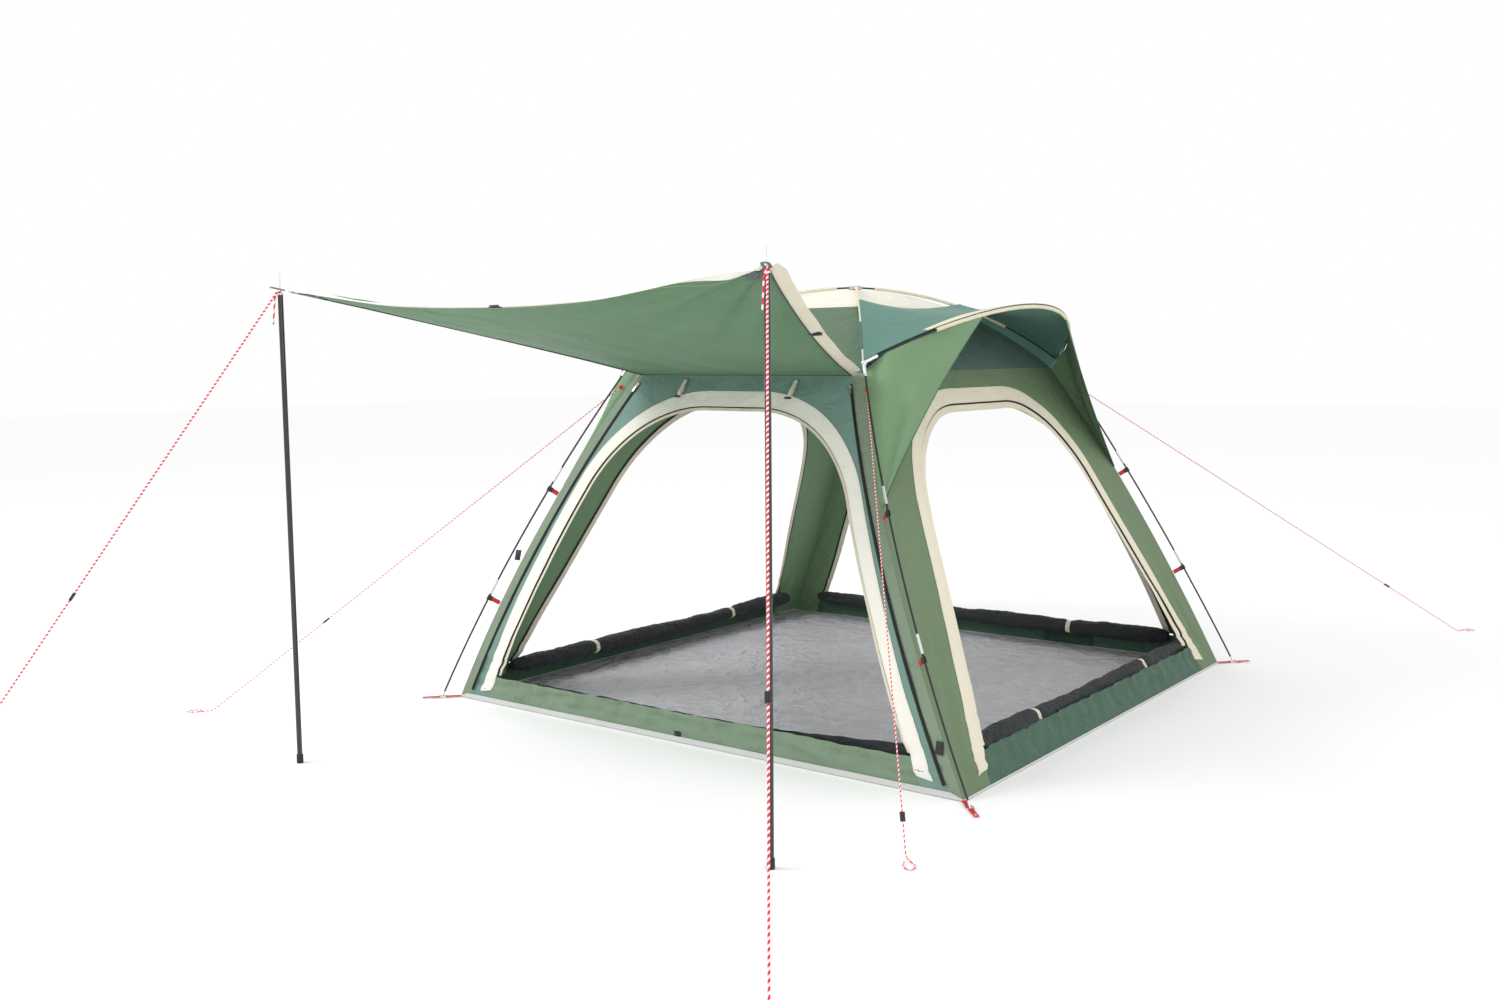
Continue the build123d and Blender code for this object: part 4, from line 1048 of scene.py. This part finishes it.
grey_patch = fabric("grey_reinforcement", (0.10, 0.13, 0.12), crinkle=0.2)
corner_patch, area = cloth_piece("awning_corner_patches", patch_rows, [grey_patch], 0.001)
place_piece(corner_patch, "awning", "green_cloth")
seams = [[awning_point(a, b, -0.0012) for a in between(-0.94, 0.94, 110)] for b in (0.980,)]
stitch_rows("awning_stitches", seams, cream_thread, "awning", "cream_cloth", Pitch=STITCH_PITCH)


def soft_block(centre, x_way, y_way, half, round_off):
    """A small rounded block."""
    x_way = x_way.normalized()
    z_way = x_way.cross(y_way).normalized()
    y_way = z_way.cross(x_way)
    work = bmesh.new()
    bmesh.ops.create_cube(work, size=2.0)
    for corner in work.verts:
        corner.co = Vector((corner.co.x * half[0], corner.co.y * half[1], corner.co.z * half[2]))
    bmesh.ops.bevel(work, geom=work.edges[:], offset=round_off, segments=2, affect="EDGES", profile=0.5)
    verts = [centre + x_way * v.co.x + y_way * v.co.y + z_way * v.co.z for v in work.verts]
    work.verts.index_update()
    faces = [tuple(v.index for v in face.verts) for face in work.faces]
    work.free()
    return verts, faces


black_plastic = surface("black_moulded_plastic", (0.012, 0.012, 0.013), 0.42)[0]
tabs = []
middle_tab = awning_point(-0.07, 0.992)
tabs.append(soft_block(middle_tab, Vector((1, 0.05, 0)), Vector((0, 1, 0)), (0.026, 0.013, 0.006), 0.002))
side_tab = awning_point(1, 0.44) + Vector((0.020, 0, 0.003))
tabs.append(soft_block(side_tab, Vector((0.15, 1, -0.2)), Vector((1, 0, 0)), (0.012, 0.028, 0.006), 0.002))
verts, faces = joined(tabs)
tab_piece = mesh_piece("awning_hook_tabs", verts, faces, [black_plastic])
place_piece(tab_piece, "awning", "black_plastic")

# ---------------------------------------------------------------- zips
# Black nylon coil zips run down both sides of the front arch, from the eave to the foot of the wall.
# Each coil lies on two woven tapes, which are sewn to the arch and to the corner strip.


def zip_arc(side):
    points = []
    for z in (ZIP_TOP[1], (ZIP_TOP[1] + ZIP_LOW[1]) / 2, ZIP_LOW[1]):
        points.append(Vector((side * zip_x(z), -wall_y(z) - 0.0042, z)))
    return arc_through(*points)


tape_patches, coils = [], []
for side in (-1, 1):
    arc = zip_arc(side)
    line = [arc(t) for t in between(0, 1, 90)]
    tape = []
    for shift in (-0.008, -0.0026, 0.0026, 0.008):
        out = 0.0 if abs(shift) > 0.005 else -0.0006
        tape.append([p + Vector((shift * 0.9, out + 0.001, shift * side * 0.43)) for p in line])
    tape_patches.append((tape, 0))
    coils.append([p + Vector((0, -0.0008, 0)) for p in line])
tapes = cloth_piece("front_zip_tapes_woven", tape_patches, [black_zip], 0.0008)[0]
place_piece(tapes, "root", "black_zip", "front_zip_tapes")
coil_black = surface("zip_coil_nylon", (0.01, 0.01, 0.011), 0.35)[0]
coil_size = {"Pitch": 0.0045, "Length": 0.0026, "Radius": 0.0021}
stitch_rows("front_zip_coils", coils, coil_black, "root", "black_zip", **coil_size)

# ---------------------------------------------------------------- toggles
# Two loops of cream tape, each with a black plastic barrel at its end. They are bar-tacked under the
# awning's seam and hold the awning when it is rolled up.

TOGGLE_X = 0.322
TOGGLE_Z = 1.606
LOOP_L = 0.092
for name, side in (("left", -1), ("right", 1)):
    top = Vector((side * TOGGLE_X, -wall_y(TOGGLE_Z) - 0.006, TOGGLE_Z))
    low_z = TOGGLE_Z - LOOP_L
    low = Vector((side * TOGGLE_X, -wall_y(low_z) - 0.007, low_z))
    down = (low - top).normalized()
    out = Vector((1, 0, 0)).cross(down).normalized()
    if out.y > 0:
        out = -out
    across = Vector((1, 0, 0))
    loop_rows = []
    for w in (-1, -0.5, 0.5, 1):
        row = []
        for k in range(49):
            t = 2 * math.pi * k / 48
            reach = (1 - math.cos(t)) / 2
            wide = 0.0022 + 0.0095 * math.sin(t / 2) ** 4
            spread = math.sin(t) * wide + 0.0035
            lean = Vector((-0.010 * reach, 0, 0))
            row.append(top + down * (LOOP_L * 0.9 * reach) + out * spread + across * (0.009 * w) + lean)
        loop_rows.append(row)
    loop = cloth_piece(f"toggle_{name}_loop", [(loop_rows, 0)], [cream_trim], 0.0011)[0]
    barrel = [low + out * 0.0075 + across * x + Vector((-0.009, 0, 0.012)) for x in between(-0.018, 0.018, 9)]
    round_ends = lambda t: 0.0028 + 0.0026 * math.sin(math.pi * min(1.0, max(0.0, t * 0.9 + 0.05))) ** 0.5
    verts, faces = tube_mesh(barrel, round_ends, 16, UP)
    bar = mesh_piece(f"toggle_{name}_barrel", verts, faces, [black_plastic])
    place_piece(bar, f"toggle_{name}", "black_plastic")
    place_piece(loop, f"toggle_{name}", "cream_cloth", f"toggle_{name}")

# ---------------------------------------------------------------- rolled mesh doors
# Each door's black mesh is rolled down inside its sill and held with two cream ties. The rolls are
# uneven, thinner under the ties, and their last turn leaves a long lip.

ROLL_Z = 0.128
mesh_black = fabric("rolled_mesh", (0.022, 0.026, 0.028), roughness=0.75, crinkle=0.8, crinkle_size=22.0)
ROLL_IN = 0.058
ROLL_R = 0.041
FRONT_ROLL_R = 0.030
FRONT_ROLL_Z = ROLL_Z - 0.038
SIDE_ROLL = 1.232
END_ROLL = 1.182
side_x = wall_x(ROLL_Z) - ROLL_IN
end_y = wall_y(ROLL_Z) - ROLL_IN
ROLLS = {
    "left": (Vector((-side_x, -SIDE_ROLL, ROLL_Z)), Vector((-side_x, SIDE_ROLL, ROLL_Z)), ROLL_R),
    "right": (Vector((side_x, -SIDE_ROLL, ROLL_Z)), Vector((side_x, SIDE_ROLL, ROLL_Z)), ROLL_R),
    "back": (Vector((-END_ROLL, end_y, ROLL_Z)), Vector((END_ROLL, end_y, ROLL_Z)), ROLL_R),
    "front": (
        Vector((-END_ROLL, -end_y, FRONT_ROLL_Z)), Vector((END_ROLL, -end_y, FRONT_ROLL_Z)), FRONT_ROLL_R,
    ),
}
TIE_AT = (0.25, 0.75)
ROLL_SAG = 0.010


def roll_point(start, end, t, angle, r):
    """Point at a radius round a roll's centre line, which sags a little in its middle."""
    out = (end - start).normalized().cross(UP)
    centre = start + (end - start) * t - Vector((0, 0, ROLL_SAG * 4 * t * (1 - t)))
    return centre + out * math.cos(angle) * r + Vector((0, 0, math.sin(angle) * r))


def roll_radius(t, angle, radius, seed):
    """Radius of a roll: uneven along it, pinched at the ties, with a lip where the last turn ends."""
    pinch = sum(0.20 * math.exp(-(((t - tie) / 0.012) ** 2)) for tie in TIE_AT)
    ends = 0.45 * (math.exp(-t / 0.02) + math.exp(-(1 - t) / 0.02))
    thick = 0.26 * ripple(t, 0.3, seed + 12, 0.21)
    lumps = thick + 0.16 * ripple(t * 2.4, angle * 0.12, seed, 0.12)
    lumps += 0.10 * ripple(t * 2.4, angle * 0.5, seed + 3, 0.04)
    winding = (angle + 1.5 * ripple(t, 0, seed + 8, 0.3)) % (2 * math.pi) / (2 * math.pi)
    tall = 1 + 0.14 * abs(math.sin(angle)) * math.sin(angle)
    return radius * tall * (0.93 + lumps + 0.10 * winding) * (1 - pinch) * (1 - ends)


for seed, (name, (start, end, radius)) in enumerate(ROLLS.items()):
    verts, faces = [], []
    turns, steps = 36, 260
    for i in range(steps):
        t = i / (steps - 1)
        for k in range(turns):
            angle = 2 * math.pi * k / turns
            r = roll_radius(t, angle, radius, seed * 10.0)
            verts.append(roll_point(start, end, t, angle, r))
    for i in range(steps - 1):
        for k in range(turns):
            a, b = i * turns + k, i * turns + (k + 1) % turns
            faces.append((a, a + turns, b + turns, b))
    faces.append(tuple(range(turns)))
    faces.append(tuple(reversed(range((steps - 1) * turns, steps * turns))))
    roll = mesh_piece(f"{name}_mesh_roll", verts, faces, [mesh_black], smooth_angle=60)
    work = bmesh.new()
    work.from_mesh(roll.data)
    bmesh.ops.recalc_face_normals(work, faces=work.faces)
    work.to_mesh(roll.data)
    work.free()
    place_piece(roll, "root", "black_mesh", "mesh_rolls")
    ties = []
    for tie in TIE_AT:
        for turn_at in (-0.004, 0.006):
            row_pair = []
            for w in (-0.008, 0.008):
                t = tie + (w + turn_at) / (end - start).length
                ring = []
                for k in range(41):
                    angle = 2 * math.pi * k / 40
                    r = roll_radius(tie, angle, radius, seed * 10.0) + 0.003
                    ring.append(roll_point(start, end, t, angle, r))
                row_pair.append(ring)
            ties.append((row_pair, 0))
    tie_piece = cloth_piece(f"{name}_roll_ties", ties, [cream_trim], 0.0014)[0]
    place_piece(tie_piece, "root", "cream_cloth", "mesh_roll_ties")

CORNER_MESH_X = (0.28, 1.185)
CORNER_MESH_RISE = 0.052
corner_mesh = []
for w in between(0.0, 1.0, 8):
    row = []
    for x in between(*CORNER_MESH_X, 60):
        share = (x - CORNER_MESH_X[0]) / (CORNER_MESH_X[1] - CORNER_MESH_X[0])
        z = 0.105 + (0.02 + CORNER_MESH_RISE * share**1.3) * w + 0.004 * w * ripple(x, 0, 41.0, 0.09)
        y = -wall_y(z) + 0.022 + 0.010 * (1 - w) + 0.005 * ripple(x, w * 0.2, 43.0, 0.06)
        row.append(Vector((x, y, z)))
    corner_mesh.append(row)
loose_mesh = cloth_piece("front_mesh_corner", [(corner_mesh, 0)], [mesh_black], 0.001)[0]
place_piece(loose_mesh, "root", "black_mesh")

# ---------------------------------------------------------------- pocket
# A pocket of dark green mesh, sewn by its sides and foot inside the back sill. Its bound top edge
# stands open a little.

POCKET_X = (0.410, 0.710)
POCKET_Z = (0.014, 0.076)
pocket_rows = []
for z in between(*POCKET_Z, 10):
    h = (z - POCKET_Z[0]) / (POCKET_Z[1] - POCKET_Z[0])
    row = []
    for x in between(*POCKET_X, 40):
        f = (x - POCKET_X[0]) / (POCKET_X[1] - POCKET_X[0])
        belly = 0.012 * math.sin(math.pi * f) * (0.4 + 0.6 * h) + 0.002 * ripple(x, z, 31.0, 0.04)
        row.append(Vector((x, wall_y(0.040) - 0.014 - belly, z - 0.004 * math.sin(math.pi * f))))
    pocket_rows.append(row)
pocket_green = fabric("pocket_mesh", (0.025, 0.055, 0.04), roughness=0.7, crinkle=0.8, crinkle_size=25.0)
pocket = cloth_piece("mesh_pocket_pouch", [(pocket_rows, 0)], [pocket_green], 0.001)[0]
place_piece(pocket, "root", "black_mesh", "mesh_pocket")
verts, faces = tube_mesh(pocket_rows[-1], PIPING_R, 8, UP)
pocket_binding = mesh_piece("mesh_pocket_binding", verts, faces, [dark_binding])
place_piece(pocket_binding, "root", "black_mesh")

# ---------------------------------------------------------------- hook tabs on the front
# Small black hook-and-loop tabs, sewn on the corner strips and the sill. They hold the front arch
# when its zips are closed.

front_place = walls["front"][0]
tabs = []
for a, z, tall in ((-1.125, 0.74, 0.026), (1.325, 0.19, 0.026), (0.0, 0.036, 0.012)):
    at = front_place(a, z, 0.004)
    lean = front_place(a, z + 0.02, 0.004) - at
    tabs.append(soft_block(at, Vector((1, 0, 0)), lean, (0.017, tall, 0.003), 0.0015))
verts, faces = joined(tabs)
hook_tabs = mesh_piece("front_hook_tabs", verts, faces, [black_plastic])
place_piece(hook_tabs, "root", "black_plastic")

# ---------------------------------------------------------------- rods, hubs, poles and small hardware
# Black glass-fibre rods in silver ferrules, moulded grey hubs, powder-coated steel awning poles,
# red webbing and zinc-plated rings.


def patterned(material, tree, shader, pattern, mix, bump):
    """Lets one pattern drive both the tone and the unevenness of a finish."""
    place = add(tree, "ShaderNodeTexCoord")
    join(
        tree,
        (place, "Object", pattern, "Vector"),
        (pattern, "Fac", mix, "Factor"),
        (mix, "Result", shader, "Base Color"),
        (pattern, "Fac", bump, "Height"),
        (bump, "Normal", shader, "Normal"),
    )
    return material


def speckled(name, colour, roughness, metallic=0.0, coat=0.0):
    """Hard finish with fine unevenness in tone and surface."""
    parts = surface(name, colour, roughness, Metallic=metallic, Coat_Weight=coat)
    tone = add(parts[1], "ShaderNodeTexNoise", Scale=180.0, Detail=4.0)
    bump = add(parts[1], "ShaderNodeBump", Strength=0.3, Distance=0.0004)
    return patterned(*parts, tone, tone_mix(parts[1], colour, 0.88, 1.12), bump)


def webbing(name, colour):
    """Ribbed webbing, darker in the grooves between its ribs: painted shade."""
    parts = surface(name, colour, 0.6)
    ribs = add(parts[1], "ShaderNodeTexWave", Scale=90.0, Distortion=0.6)
    ribs.bands_direction = "Z"
    bump = add(parts[1], "ShaderNodeBump", Strength=0.5, Distance=0.0005)
    return patterned(*parts, ribs, tone_mix(parts[1], colour, 0.72, 1.0), bump)


glass_fibre = speckled("black_glass_fibre", (0.012, 0.012, 0.013), 0.28)
steel_coat = speckled("black_powder_coat", (0.013, 0.013, 0.016), 0.26, coat=0.4)
silver = speckled("silver_tube", (0.72, 0.73, 0.75), 0.28, metallic=0.9)
zinc = speckled("zinc_plate", (0.66, 0.67, 0.68), 0.25, metallic=1.0)
grey_moulded = speckled("grey_moulded_hub", (0.50, 0.51, 0.52), 0.4)
black_moulded = speckled("black_moulded_clip", (0.014, 0.014, 0.015), 0.42)
rubber_foot = speckled("pole_foot_rubber", (0.011, 0.011, 0.012), 0.6)
red_webbing = webbing("red_webbing", (0.62, 0.018, 0.022))
grey_webbing = webbing("grey_webbing", (0.16, 0.17, 0.17))
sleeve_cloth = fabric("sleeve_cloth", (0.76, 0.71, 0.53), crinkle=0.6, crinkle_size=30.0)
white_elastic = speckled("white_elastic", (0.7, 0.7, 0.7), 0.7)
FINISHES = {
    "leg_poles": glass_fibre,
    "roof_poles": glass_fibre,
    "visor_poles": glass_fibre,
    "leg_ferrules": silver,
    "leg_end_pins": silver,
    "awning_pole_spikes": silver,
    "corner_rings": zinc,
    "corner_hubs": silver,
    "crown_joint": grey_moulded,
    "awning_pole_lower_sections": steel_coat,
    "awning_pole_middle_sections": steel_coat,
    "awning_pole_upper_sections": steel_coat,
    "awning_pole_foot_caps": rubber_foot,
    "awning_pole_shock_cords": white_elastic,
    "leg_clips": black_moulded,
    "clip_straps": red_webbing,
    "corner_webbings": red_webbing,
    "guy_tabs": red_webbing,
    "awning_eyes": grey_webbing,
    "pole_sleeves": sleeve_cloth,
    "toggle_stitch_bars": dark_thread,
}
for name in ("front_left", "front_right", "back_left", "back_right"):
    FINISHES[f"peg_loop_{name}"] = red_webbing
for name in ("guy_tensioner_front_left", "guy_tensioner_front_right", "guy_tensioner_back_right"):
    FINISHES[name] = black_moulded
for name in ("left", "right"):
    FINISHES[f"awning_tensioner_{name}"] = black_moulded
    FINISHES[f"front_zip_slider_{name}"] = zinc
    FINISHES[f"front_zip_pull_{name}"] = zinc
for name, finish in FINISHES.items():
    mesh = nodes[name].data
    mesh.materials.clear()
    mesh.materials.append(finish)
